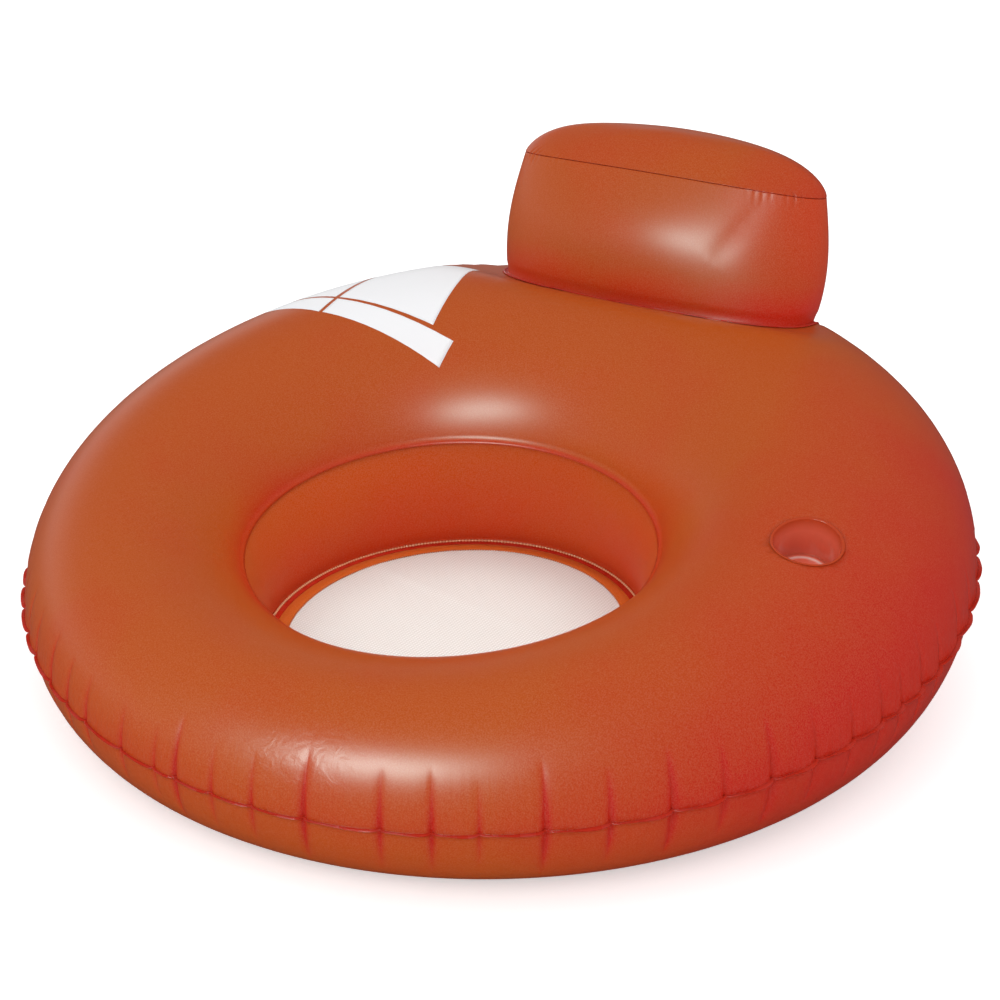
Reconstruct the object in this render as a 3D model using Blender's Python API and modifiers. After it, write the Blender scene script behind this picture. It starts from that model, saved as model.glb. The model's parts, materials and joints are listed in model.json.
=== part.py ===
"""An inflatable pool chair: a fat air ring, low at the front and high at the back, with a mesh seat
in its hole, an air-filled backrest welded on top, a cup holder and two push-in air valves.

Metres, +Z up. The chair faces -Y, its backrest is at +Y and its cup holder at +X. The origin is on
the floor under the middle of the outer weld. Every sheet is flat vinyl film, cut and welded edge to
edge, so each is its own shell and the welds are flanges where two sheets lie on each other.
"""

import math

import bmesh
import bpy
from mathutils import Matrix, Vector
from mathutils.bvhtree import BVHTree

# Film, welds and the clearance between two pieces that lie on each other.
FILM = 0.0004
GAP = 0.0003
OUTER_FLANGE = 0.005
UPPER_FLANGE = 0.007
LOWER_FLANGE = 0.008

# The ring seen from above: a round outer weld, and a hole set towards the front.
SEAM_RADIUS = 0.520
HOLE_CENTRE_Y = -0.105
UPPER_HOLE_HALF_WIDTH = 0.229
UPPER_HOLE_HALF_LENGTH = 0.214
LOWER_HOLE_CENTRE_Y = -0.091
LOWER_HOLE_HALF_WIDTH = 0.204
LOWER_HOLE_HALF_LENGTH = 0.227

# The ring seen from the side: heights over the floor at the front, the arms and the back.
SEAM_FRONT = 0.077
SEAM_BACK = 0.177
CREST_FRONT = 0.175
CREST_ARM = 0.248
CREST_BACK = 0.3415
UPPER_WELD_FRONT = 0.139
UPPER_WELD_BACK = 0.198
SEAT_HEIGHT = 0.053
CREST_AT = 0.507
REST_AT = 0.633
REST_BAND = 0.030
WALL_BULGE = 0.010

# Gathers where the curved sheets meet at the outer weld.
CREASES = 52
CREASE_DEPTH = 0.003
CREASE_REACH = 0.60
CREASE_FALL = 1.5
SCALLOP = 0.0015

# Mesh seat and the two vinyl border rings that hold its rim.
NET_FILM = 0.0008
NET_PITCH = 0.031
NET_STRAND = 0.0032
NET_RIM_EXTRA = 0.0002
NET_CUT_REACH = 0.008
BORDER_WIDTH = 0.024

# Backrest: a band of film, a crowned top panel, and a lean towards the back.
BACKREST_HALF_WIDTH = 0.198
BACKREST_HALF_DEPTH = 0.088
BACKREST_SQUARENESS = 2.6
BACKREST_SEAM_HALF_WIDTH = 0.197
BACKREST_SEAM_HALF_DEPTH = 0.073
BACKREST_SEAM_SQUARENESS = 2.1
BACKREST_SEAM_DIP = 0.007
BACKREST_HEIGHT = 0.155
BACKREST_CROWN = 0.045
BACKREST_CROWN_POWER = 3.9
BACKREST_CROWN_ROUNDING = 0.66
BACKREST_LEAN = math.radians(9.6)
BACKREST_SETBACK = 0.137
BACKREST_SINK = 0.027
BACKREST_SPREAD = 0.75
BACKREST_BULGE = 0.006
BACKREST_FLANGE = 0.003
BACKREST_FOOT = 0.030

# Cup holder, a shallow pocket in the right arm.
CUP_ANGLE = math.radians(4.7)
CUP_PAST_CREST = 0.0165
CUP_MOUTH_RADIUS = 0.0367
CUP_FLOOR_RADIUS = 0.0300
CUP_DEPTH = 0.043
CUP_RIM = 0.006
CUP_FLOOR_WELD = 0.004

# Air valve: a welded disc, a soft cone, a stem with its bore, a flap and a plug on a strap.
VALVE_DISC_RADIUS = 0.0150
VALVE_DISC_FILM = 0.0008
VALVE_HOLE_RADIUS = 0.0110
STEM_COLLAR_RADIUS = 0.0062
STEM_RADIUS = 0.0045
BORE_RADIUS = 0.0030
STEM_HEIGHT = 0.0125
COLLAR_THICKNESS = 0.0012
CONE_HEIGHT = 0.0060
CONE_FILM = 0.0007
PLUG_CLEARANCE = 0.0003
PLUG_LENGTH = 0.0065
PLUG_HEAD_RADIUS = 0.0055
PLUG_HEAD_THICKNESS = 0.0024
STRAP_RING_CLEARANCE = 0.0004
STRAP_RING_WIDTH = 0.0016
STRAP_RING_THICKNESS = 0.0016
STRAP_REACH = 0.0100
STRAP_WIDTH = 0.0036
STRAP_THICKNESS = 0.0010
STRAP_BENDS = 6
FLAP_THICKNESS = 0.0007

# Where the two valves sit.
RING_VALVE_ANGLE = math.radians(112.0)
RING_VALVE_FROM_SEAM = 0.032
BACKREST_VALVE_SIDE = 0.045
BACKREST_VALVE_UP = 0.070

# Facets. Columns go round, rows go along a section.
COLUMNS = 2 * CREASES
TOP_INNER_ROWS = 4
TOP_OUTER_ROWS = 4
BOTTOM_OUTER_ROWS = 3
BOTTOM_INNER_ROWS = 2
WALL_ROWS = 3
BACKREST_COLUMNS = 36
BACKREST_ROWS = 4
PANEL_ROWS = 5
CUP_COLUMNS = 24
CUP_ROWS = 4
VALVE_STEPS = 12


def clear_scene():
    """Empty the scene of whatever was open."""
    for obj in list(bpy.data.objects):
        bpy.data.objects.remove(obj, do_unlink=True)


def new_collection(name):
    """A collection linked to the scene."""
    made = bpy.data.collections.new(name)
    bpy.context.scene.collection.children.link(made)
    return made


def vinyl(name, colour, roughness, alpha=1.0):
    """A Principled plastic of one colour."""
    made = bpy.data.materials.new(name)
    made.use_nodes = True
    shader = made.node_tree.nodes["Principled BSDF"]
    shader.inputs["Base Color"].default_value = (*colour, 1.0)
    shader.inputs["Roughness"].default_value = roughness
    shader.inputs["Alpha"].default_value = alpha
    shader.inputs["Metallic"].default_value = 0.0
    return made


def object_from(bm, name, collection, material=None):
    """Turn a bmesh into a smooth-shaded object."""
    mesh = bpy.data.meshes.new(name)
    bm.to_mesh(mesh)
    bm.free()
    mesh.shade_smooth()
    if material is not None:
        mesh.materials.append(material)
    obj = bpy.data.objects.new(name, mesh)
    collection.objects.link(obj)
    return obj


def loft(loops, close_rows=False):
    """Skin a list of closed loops that have equal numbers of points, with one diagonal throughout."""
    bm = bmesh.new()
    rows = [[bm.verts.new(point) for point in loop] for loop in loops]
    pairs = list(zip(rows, rows[1:]))
    if close_rows:
        pairs.append((rows[-1], rows[0]))
    for low, high in pairs:
        for i in range(len(low)):
            j = (i + 1) % len(low)
            bm.faces.new((low[i], low[j], high[j]))
            bm.faces.new((low[i], high[j], high[i]))
    return bm


def turn_out(bm, towards):
    """Flip all faces if the first one looks away from the given direction."""
    bm.normal_update()
    bm.faces.ensure_lookup_table()
    if bm.faces[0].normal.dot(towards) < 0:
        bmesh.ops.reverse_faces(bm, faces=bm.faces)


def thicken(obj, thickness, offset=-1.0):
    """Give an open sheet its film thickness, behind its faces."""
    solid = obj.modifiers.new("film", "SOLIDIFY")
    solid.thickness = thickness
    solid.offset = offset
    solid.use_quality_normals = True


def boolean(obj, other, operation):
    """Join, cut or intersect an object with another one."""
    made = obj.modifiers.new(operation.lower(), "BOOLEAN")
    made.operation = operation
    made.solver = "EXACT"
    made.object = other


def helper(obj):
    """Leave a cutter or a guide out of the finished model."""
    obj.hide_render = True
    obj.display_type = "WIRE"
    return obj


def outer_reach(theta):
    """Distance from the hole's centre to the outer weld, in plan."""
    across = SEAM_RADIUS**2 - (HOLE_CENTRE_Y * math.cos(theta)) ** 2
    return -HOLE_CENTRE_Y * math.sin(theta) + math.sqrt(across)


def hole_reach(theta, half_width, half_length, centre_y, inset=0.0):
    """Distance from the hole's centre to an oval inner weld, in plan, less an inset."""
    c, s = math.cos(theta), math.sin(theta)
    ax, ay = half_width - inset, half_length - inset
    shift = HOLE_CENTRE_Y - centre_y
    a = (c / ax) ** 2 + (s / ay) ** 2
    b = shift * s / ay**2
    d = (shift / ay) ** 2 - 1.0
    return (-b + math.sqrt(b * b - a * d)) / a


def upper_reach(theta, inset=0.0):
    """Plan distance to the upper inner weld."""
    return hole_reach(theta, UPPER_HOLE_HALF_WIDTH, UPPER_HOLE_HALF_LENGTH, HOLE_CENTRE_Y, inset)


def lower_reach(theta, inset=0.0):
    """Plan distance to the lower inner weld."""
    return hole_reach(theta, LOWER_HOLE_HALF_WIDTH, LOWER_HOLE_HALF_LENGTH, LOWER_HOLE_CENTRE_Y, inset)


def crest_height(theta):
    """Height of the tube's top, through the front, arm and back values."""
    s = math.sin(theta)
    swing = (CREST_BACK - CREST_FRONT) / 2
    bow = (CREST_BACK + CREST_FRONT) / 2 - CREST_ARM
    return CREST_ARM + swing * s + bow * s * s


def upper_weld_height(theta):
    """Height of the upper inner weld."""
    middle = (UPPER_WELD_BACK + UPPER_WELD_FRONT) / 2
    return middle + (UPPER_WELD_BACK - UPPER_WELD_FRONT) / 2 * math.sin(theta)


def seam_height(y):
    """Height of the outer weld, which rises evenly to the back."""
    share = (y + SEAM_RADIUS) / (2 * SEAM_RADIUS)
    return SEAM_FRONT + (SEAM_BACK - SEAM_FRONT) * share


def column_angle(i):
    """Direction of a column from the hole's centre; columns are even along the outer weld."""
    alpha = 2 * math.pi * i / COLUMNS
    return math.atan2(SEAM_RADIUS * math.sin(alpha) - HOLE_CENTRE_Y, SEAM_RADIUS * math.cos(alpha))


def ring_point(theta, reach, z):
    """A point from its plan direction and distance, about the hole's centre."""
    return Vector((reach * math.cos(theta), HOLE_CENTRE_Y + reach * math.sin(theta), z))


class Tube:
    """The air tube's section in one plan direction."""

    def __init__(self, theta):
        self.theta = theta
        self.inner = upper_reach(theta)
        self.outer = outer_reach(theta)
        self.width = self.outer - self.inner
        self.crest = crest_height(theta)
        self.seam = seam_height(HOLE_CENTRE_Y + self.outer * math.sin(theta))
        self.weld = upper_weld_height(theta)
        self.rise = self.crest - self.seam
        self.turn = math.acos(1 - (self.crest - self.weld) / self.rise)
        self.crest_reach = self.inner + CREST_AT * self.width

    def top(self, t):
        """Point and outward normal; t is -1 at the inner weld, 0 on the crest and 1 at the outer weld."""
        if t < 0:
            angle = -t * self.turn
            half = CREST_AT * self.width / math.sin(self.turn)
            side = -1.0
        else:
            angle = t * math.pi / 2
            half = (1 - CREST_AT) * self.width
            side = 1.0
        reach = self.crest_reach + side * half * math.sin(angle)
        z = self.crest - self.rise * (1 - math.cos(angle))
        normal = Vector((side * self.rise * math.sin(angle), half * math.cos(angle)))
        return reach, z, normal.normalized()


def crease_fade(t):
    """How strongly a gather shows, from 1 at the outer weld to 0 up the tube."""
    return max(0.0, (t - 1 + CREASE_REACH) / CREASE_REACH) ** CREASE_FALL


def crease(i):
    """Every second column lies in a gather."""
    return CREASE_DEPTH * (i % 2)


def backrest_axes():
    """Unit vectors across, towards the back and up the leaning backrest."""
    lean = BACKREST_LEAN
    across = Vector((1, 0, 0))
    back = Vector((0, math.cos(lean), -math.sin(lean)))
    up = Vector((0, math.sin(lean), math.cos(lean)))
    return across, back, up


def plain_top_height(x, y):
    """Height of the ring's top sheet before the backrest presses on it."""
    theta = math.atan2(y - HOLE_CENTRE_Y, x)
    reach = math.hypot(x, y - HOLE_CENTRE_Y)
    tube = Tube(theta)
    if reach < tube.crest_reach:
        half = CREST_AT * tube.width / math.sin(tube.turn)
    else:
        half = (1 - CREST_AT) * tube.width
    share = min(abs(reach - tube.crest_reach) / half, 1.0)
    return tube.crest - tube.rise * (1 - math.sqrt(1 - share * share))


def backrest_base():
    """Centre of the backrest's weld on the ring."""
    y = SEAM_RADIUS - BACKREST_SETBACK
    front = y - BACKREST_HALF_DEPTH * math.cos(BACKREST_LEAN)
    z_front = plain_top_height(0.0, front) - BACKREST_SINK
    return Vector((0, y, z_front - BACKREST_HALF_DEPTH * math.sin(BACKREST_LEAN)))


def pressed(point):
    """Pull a point of the top sheet down to the backrest's weld, near that weld."""
    base = backrest_base()
    offset = point - base
    nx = abs(offset.x) / BACKREST_HALF_WIDTH
    ny = abs(offset.y) / BACKREST_HALF_DEPTH
    n = BACKREST_SQUARENESS
    rho = (nx**n + ny**n) ** (1 / n)
    share = min(max(1 - (rho - 1) / BACKREST_SPREAD, 0.0), 1.0)
    share = share * share * (3 - 2 * share)
    floor_z = base.z - offset.y * math.tan(BACKREST_LEAN)
    return Vector((point.x, point.y, point.z + min(0.0, floor_z - point.z) * share))


def top_loops(lift=0.0):
    """Loops of the ring's top sheet from the inner weld to the outer one, without flanges."""
    inner = [-1 + k / TOP_INNER_ROWS for k in range(TOP_INNER_ROWS)]
    outer = [k / TOP_OUTER_ROWS for k in range(TOP_OUTER_ROWS + 1)]
    loops = []
    for t in inner + outer:
        loop = []
        for i in range(COLUMNS):
            theta = column_angle(i)
            reach, z, normal = Tube(theta).top(t)
            shift = lift - crease(i) * crease_fade(t)
            point = ring_point(theta, reach + shift * normal.x, z + shift * normal.y)
            loop.append(pressed(point) if t < 1 else point)
        loops.append(loop)
    return loops


def seam_loop(reach_out, z_shift, scallop=0.0):
    """A loop along the outer weld, drawn in at each gather."""
    loop = []
    for i in range(COLUMNS):
        theta = column_angle(i)
        reach = outer_reach(theta) - crease(i) - scallop * (i % 2) + reach_out
        z = seam_height(HOLE_CENTRE_Y + outer_reach(theta) * math.sin(theta)) + z_shift
        loop.append(ring_point(theta, reach, z))
    return loop


def inner_loop(reach_of, inset, z_of, step=1):
    """A loop along an inner weld, at a height that may change round it."""
    loop = []
    for i in range(0, COLUMNS, step):
        theta = column_angle(i)
        loop.append(ring_point(theta, reach_of(theta, inset), z_of(theta)))
    return loop


def make_ring_top_sheet(parts, material):
    """Top sheet of the ring, with its flange at the outer weld and at the upper inner weld."""
    lip = inner_loop(upper_reach, UPPER_FLANGE, upper_weld_height)
    root = seam_loop(0.0, GAP / 2 + FILM)
    edge = seam_loop(OUTER_FLANGE, GAP / 2 + FILM, SCALLOP)
    body = top_loops()
    bm = loft([lip] + body[:-1] + [root, edge])
    turn_out(bm, Vector((0, 0, 1)))
    obj = object_from(bm, "ring_top_sheet", parts, material)
    thicken(obj, FILM)
    return obj


def make_ring_bottom_sheet(parts, material):
    """Bottom sheet of the ring, flat where it rests, with a flange at each weld."""
    flange_z = lower_stack()["bottom_flange"]
    edge = seam_loop(OUTER_FLANGE, -GAP / 2 - FILM, SCALLOP)
    root = seam_loop(0.0, -GAP / 2 - FILM)
    loops = [edge, root]
    for k in range(1, BOTTOM_OUTER_ROWS + 1):
        t = k / BOTTOM_OUTER_ROWS
        loops.append(bottom_loop(t, True))
    for k in range(BOTTOM_INNER_ROWS):
        t = 1 - k / BOTTOM_INNER_ROWS
        loops.append(bottom_loop(t, False))
    loops.append(inner_loop(lower_reach, 0.0, lambda theta: flange_z))
    loops.append(inner_loop(lower_reach, LOWER_FLANGE, lambda theta: flange_z))
    bm = loft(loops)
    turn_out(bm, Vector((0, 0, -1)))
    obj = object_from(bm, "ring_bottom_sheet", parts, material)
    thicken(obj, FILM)
    return obj


def bottom_loop(t, outside):
    """One loop of the bottom sheet; t is 1 at the resting band and 0 at the weld beside it."""
    flange_z = lower_stack()["bottom_flange"]
    loop = []
    for i in range(COLUMNS):
        theta = column_angle(i)
        tube = Tube(theta)
        inner = lower_reach(theta)
        middle = inner + REST_AT * (tube.outer - inner)
        angle = t * math.pi / 2
        if outside:
            near = middle + REST_BAND / 2
            reach = near + (tube.outer - near) * math.cos(angle)
            z = tube.seam * (1 - math.sin(angle))
            reach -= crease(i) * crease_fade(1 - t) * math.cos(angle)
        else:
            near = middle - REST_BAND / 2
            reach = near - (near - inner) * math.cos(angle)
            z = flange_z * (1 - math.sin(angle))
        loop.append(ring_point(theta, reach, z))
    return loop


def lower_stack():
    """Heights of the layers in the lower inner weld, worked out from the seat's mesh."""
    net_half = NET_FILM / 2 + NET_RIM_EXTRA
    upper_border = SEAT_HEIGHT + net_half + GAP
    lower_border = SEAT_HEIGHT - net_half - GAP - FILM
    return {
        "upper_border": upper_border,
        "lower_border": lower_border,
        "wall_flange": upper_border + FILM + GAP + FILM,
        "bottom_flange": lower_border - GAP - FILM,
    }


def make_inner_wall(parts, material):
    """Band of film round the hole, bulging a little into it, with a flange above and below."""
    flange_z = lower_stack()["wall_flange"]
    under = 2 * FILM + GAP

    def weld_z(theta):
        return upper_weld_height(theta) - under

    loops = [inner_loop(upper_reach, UPPER_FLANGE, weld_z, 2)]
    for k in range(WALL_ROWS + 1):
        share = k / WALL_ROWS
        bulge = WALL_BULGE * math.sin(math.pi * share)
        loop = []
        for i in range(0, COLUMNS, 2):
            theta = column_angle(i)
            reach = upper_reach(theta) * (1 - share) + lower_reach(theta) * share - bulge
            loop.append(ring_point(theta, reach, weld_z(theta) * (1 - share) + flange_z * share))
        loops.append(loop)
    loops.append(inner_loop(lower_reach, LOWER_FLANGE, lambda theta: flange_z, 2))
    bm = loft(loops)
    turn_out(bm, Vector((0, 0, -1)))
    obj = object_from(bm, "ring_inner_wall", parts, material)
    thicken(obj, FILM)
    return obj


def make_border(parts, name, z, material):
    """A flat vinyl ring on one side of the mesh's rim."""
    outer = inner_loop(lower_reach, GAP, lambda theta: z, 2)
    inner = inner_loop(lower_reach, BORDER_WIDTH, lambda theta: z, 2)
    bm = loft([outer, inner])
    turn_out(bm, Vector((0, 0, -1)))
    obj = object_from(bm, name, parts, material)
    thicken(obj, FILM)
    return obj


def flat_prism(loop, low, high, name, collection):
    """A closed prism on a flat loop."""
    bm = bmesh.new()
    face = bm.faces.new([bm.verts.new((p.x, p.y, low)) for p in loop])
    made = bmesh.ops.extrude_face_region(bm, geom=[face])
    raised = [v for v in made["geom"] if isinstance(v, bmesh.types.BMVert)]
    bmesh.ops.translate(bm, verts=raised, vec=(0, 0, high - low))
    bmesh.ops.recalc_face_normals(bm, faces=bm.faces)
    return helper(object_from(bm, name, collection))


def make_seat_mesh(parts, cutters, material):
    """Flat square net inside a solid rim; the rim lies between the two borders."""
    half_span = max(LOWER_HOLE_HALF_WIDTH, LOWER_HOLE_HALF_LENGTH)
    cells = 2 * math.ceil(half_span / NET_PITCH)
    bm = bmesh.new()
    bmesh.ops.create_grid(bm, x_segments=cells, y_segments=cells, size=cells * NET_PITCH / 2)
    bmesh.ops.translate(bm, verts=bm.verts, vec=(0, LOWER_HOLE_CENTRE_Y, SEAT_HEIGHT))
    gaps = list(bm.faces)
    bmesh.ops.inset_individual(bm, faces=gaps, thickness=NET_STRAND / 2)
    bmesh.ops.delete(bm, geom=gaps, context="FACES")
    net = object_from(bm, "net_strands", cutters)
    thicken(net, NET_FILM, 0.0)
    helper(net)
    rim_thickness = NET_FILM + 2 * NET_RIM_EXTRA
    rim_middle = inner_loop(lower_reach, BORDER_WIDTH / 2, lambda theta: 0.0, 2)
    low = SEAT_HEIGHT - NET_CUT_REACH
    high = SEAT_HEIGHT + NET_CUT_REACH
    inside = flat_prism(rim_middle, low, high, "net_outline", cutters)
    rim_z = SEAT_HEIGHT + rim_thickness / 2
    outer = inner_loop(lower_reach, GAP, lambda theta: rim_z, 2)
    inner = inner_loop(lower_reach, BORDER_WIDTH - NET_STRAND, lambda theta: rim_z, 2)
    bm = loft([outer, inner])
    turn_out(bm, Vector((0, 0, 1)))
    seat = object_from(bm, "seat_mesh", parts, material)
    thicken(seat, rim_thickness)
    boolean(net, inside, "INTERSECT")
    boolean(seat, net, "UNION")
    return seat


def between(low, high, share):
    """The value that lies a share of the way from low to high."""
    return low + (high - low) * share


def backrest_loop(grow, up_by, share):
    """An oblong round the backrest's axis; share is 0 on the weld's outline and 1 on the top seam's."""
    across, back, up = backrest_axes()
    base = backrest_base()
    half_width = between(BACKREST_HALF_WIDTH, BACKREST_SEAM_HALF_WIDTH, share) + grow
    half_depth = between(BACKREST_HALF_DEPTH, BACKREST_SEAM_HALF_DEPTH, share) + grow
    n = between(BACKREST_SQUARENESS, BACKREST_SEAM_SQUARENESS, share)
    loop = []
    for i in range(BACKREST_COLUMNS):
        a = 2 * math.pi * i / BACKREST_COLUMNS
        c, s = math.cos(a), math.sin(a)
        px = math.copysign(abs(c) ** (2 / n), c)
        py = math.copysign(abs(s) ** (2 / n), s)
        dip = BACKREST_SEAM_DIP * share * px * px
        loop.append(base + across * px * half_width + back * py * half_depth + up * (up_by - dip))
    return loop


def backrest_band_loops():
    """Loops of the backrest's bulging side band, from its weld on the ring to its top seam."""
    loops = []
    for k in range(BACKREST_ROWS + 1):
        share = k / BACKREST_ROWS
        bulge = BACKREST_BULGE * math.sin(math.pi * share)
        loops.append(backrest_loop(bulge, BACKREST_HEIGHT * share, share))
    return loops


def make_backrest_wall(parts, material, ring_solid):
    """Side band of the backrest, trimmed where it meets the ring, with a flange at its top."""
    foot = backrest_loop(0.0, -BACKREST_FOOT, 0.0)
    flange = backrest_loop(BACKREST_FLANGE, BACKREST_HEIGHT, 1.0)
    bm = loft([foot] + backrest_band_loops() + [flange])
    turn_out(bm, Vector((1, 0, 0)))
    obj = object_from(bm, "backrest_wall", parts, material)
    thicken(obj, FILM)
    boolean(obj, ring_solid, "DIFFERENCE")
    return obj


def make_backrest_top_panel(parts, material):
    """Crowned top panel of the backrest."""
    seat = BACKREST_HEIGHT + 2 * FILM + GAP
    up = backrest_axes()[2]
    base = backrest_base()
    edge = backrest_loop(0.0, 0.0, 1.0)
    loops = [backrest_loop(BACKREST_FLANGE, seat, 1.0)]
    for k in range(PANEL_ROWS):
        rho = math.cos(math.pi / 2 * k / PANEL_ROWS)
        rise = BACKREST_CROWN * (1 - rho**BACKREST_CROWN_POWER) ** BACKREST_CROWN_ROUNDING
        loops.append([base + (p - base) * rho + up * (seat + rise) for p in edge])
    bm = loft(loops)
    bm.verts.ensure_lookup_table()
    last = bm.verts[-BACKREST_COLUMNS:]
    pole = bm.verts.new(base + up * (seat + BACKREST_CROWN))
    for i in range(BACKREST_COLUMNS):
        bm.faces.new((last[i], last[(i + 1) % BACKREST_COLUMNS], pole))
    turn_out(bm, up)
    obj = object_from(bm, "backrest_top_panel", parts, material)
    thicken(obj, FILM)
    return obj


def make_ring_solid(cutters):
    """The ring's outer shape as one closed body, one clearance proud of the top sheet."""
    body = top_loops(GAP)[:-1]
    body.append(seam_loop(GAP, GAP / 2 + FILM + GAP))
    floor_loops = []
    for end in (body[-1], body[0]):
        floor_loops.append([Vector((p.x, p.y, SEAT_HEIGHT)) for p in end])
    bm = loft(body + floor_loops, close_rows=True)
    bmesh.ops.recalc_face_normals(bm, faces=bm.faces)
    return helper(object_from(bm, "ring_solid", cutters))


def frame_on(point, normal, name, parts):
    """An empty that stands on a sheet, with its Z out of the sheet."""
    empty = bpy.data.objects.new(name, None)
    parts.objects.link(empty)
    side = Vector((0, 0, 1)).cross(normal).normalized()
    ahead = normal.cross(side)
    turn = Matrix((side, ahead, normal)).transposed().to_4x4()
    empty.matrix_world = Matrix.Translation(point) @ turn
    return empty


def cast(tree, origin, direction):
    """Where a ray meets a faceted sheet, and the sheet's normal there."""
    point, normal, _, _ = tree.ray_cast(origin, direction)
    return point, normal


def make_cup_holder(parts, cutters, film, sheet_tree, top_sheet):
    """Cup holder: a pocket whose rim is let into a hole in the top sheet, and a floor disc on its weld."""
    tube = Tube(CUP_ANGLE)
    spot = ring_point(CUP_ANGLE, tube.crest_reach + CUP_PAST_CREST, 0.0)
    step = CUP_MOUTH_RADIUS
    along_x = plain_top_height(spot.x + step, spot.y) - plain_top_height(spot.x - step, spot.y)
    along_y = plain_top_height(spot.x, spot.y + step) - plain_top_height(spot.x, spot.y - step)
    normal = Vector((-along_x, -along_y, 2 * step)).normalized()
    centre = Vector((spot.x, spot.y, plain_top_height(spot.x, spot.y)))
    empty = frame_on(centre, normal, "cup_holder_axis", parts)
    place = empty.matrix_world.copy()
    back = place.inverted()

    def on_sheet(radius):
        loop = []
        for i in range(CUP_COLUMNS):
            a = 2 * math.pi * i / CUP_COLUMNS
            start = place @ Vector((radius * math.cos(a), radius * math.sin(a), CUP_DEPTH))
            hit, _ = cast(sheet_tree, start, -normal)
            loop.append(back @ hit)
        return loop

    def flat(radius, height):
        turns = [2 * math.pi * i / CUP_COLUMNS for i in range(CUP_COLUMNS)]
        return [Vector((radius * math.cos(a), radius * math.sin(a), height)) for a in turns]

    mouth = on_sheet(CUP_MOUTH_RADIUS)
    weld_z = -CUP_DEPTH - FILM - GAP
    floor = flat(CUP_FLOOR_RADIUS, weld_z)
    loops = [on_sheet(CUP_MOUTH_RADIUS + CUP_RIM), mouth]
    for k in range(1, CUP_ROWS + 1):
        share = k / CUP_ROWS
        loops.append([p.lerp(q, share) for p, q in zip(mouth, floor)])
    loops.append(flat(CUP_FLOOR_RADIUS - CUP_FLOOR_WELD, weld_z))
    bm = loft(loops)
    turn_out(bm, Vector((0, 0, 1)))
    wall = object_from(bm, "cup_holder_wall", parts, film)
    thicken(wall, FILM)
    wall.parent = empty

    bm = bmesh.new()
    bmesh.ops.create_circle(bm, cap_ends=True, segments=CUP_COLUMNS, radius=CUP_FLOOR_RADIUS - GAP)
    bmesh.ops.translate(bm, verts=bm.verts, vec=(0, 0, -CUP_DEPTH))
    turn_out(bm, Vector((0, 0, 1)))
    disc = object_from(bm, "cup_holder_floor", parts, film)
    thicken(disc, FILM)
    disc.parent = empty

    cut_round_hole(top_sheet, empty, CUP_MOUTH_RADIUS + CUP_RIM + GAP, CUP_COLUMNS, "cup_hole", cutters)


def cut_round_hole(sheet, empty, radius, sides, name, cutters):
    """Cut a round hole through a sheet along an empty's Z."""
    bm = bmesh.new()
    depth = radius * 2
    bmesh.ops.create_cone(bm, cap_ends=True, segments=sides, radius1=radius, radius2=radius, depth=depth)
    cutter = helper(object_from(bm, name, cutters))
    cutter.matrix_world = empty.matrix_world.copy()
    boolean(sheet, cutter, "DIFFERENCE")


def turned(profile, name, parts, material, empty):
    """A turned piece from its profile of (radius, height) points, on an empty's Z.

    A profile that starts on the axis ends on it; any other one runs back to its first point.
    """
    bm = bmesh.new()
    verts = [bm.verts.new((radius, 0, z)) for radius, z in profile]
    for a, b in zip(verts, verts[1:]):
        bm.edges.new((a, b))
    if profile[0][0] > 0:
        bm.edges.new((verts[-1], verts[0]))
    obj = object_from(bm, name, parts, material)
    screw = obj.modifiers.new("turn", "SCREW")
    screw.steps = VALVE_STEPS
    screw.render_steps = VALVE_STEPS
    screw.use_merge_vertices = True
    screw.merge_threshold = 0.00001
    obj.parent = empty
    return obj


def ring_profile(inner, outer, low, high):
    """Profile of a plain turned ring, down its outer side."""
    return [(outer, high), (outer, low), (inner, low), (inner, high)]


def moving_frame(name, parts, empty, local):
    """An empty on a joint's axis, in its valve's frame."""
    made = bpy.data.objects.new(name, None)
    parts.objects.link(made)
    made.parent = empty
    made.location = local
    return made


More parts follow.
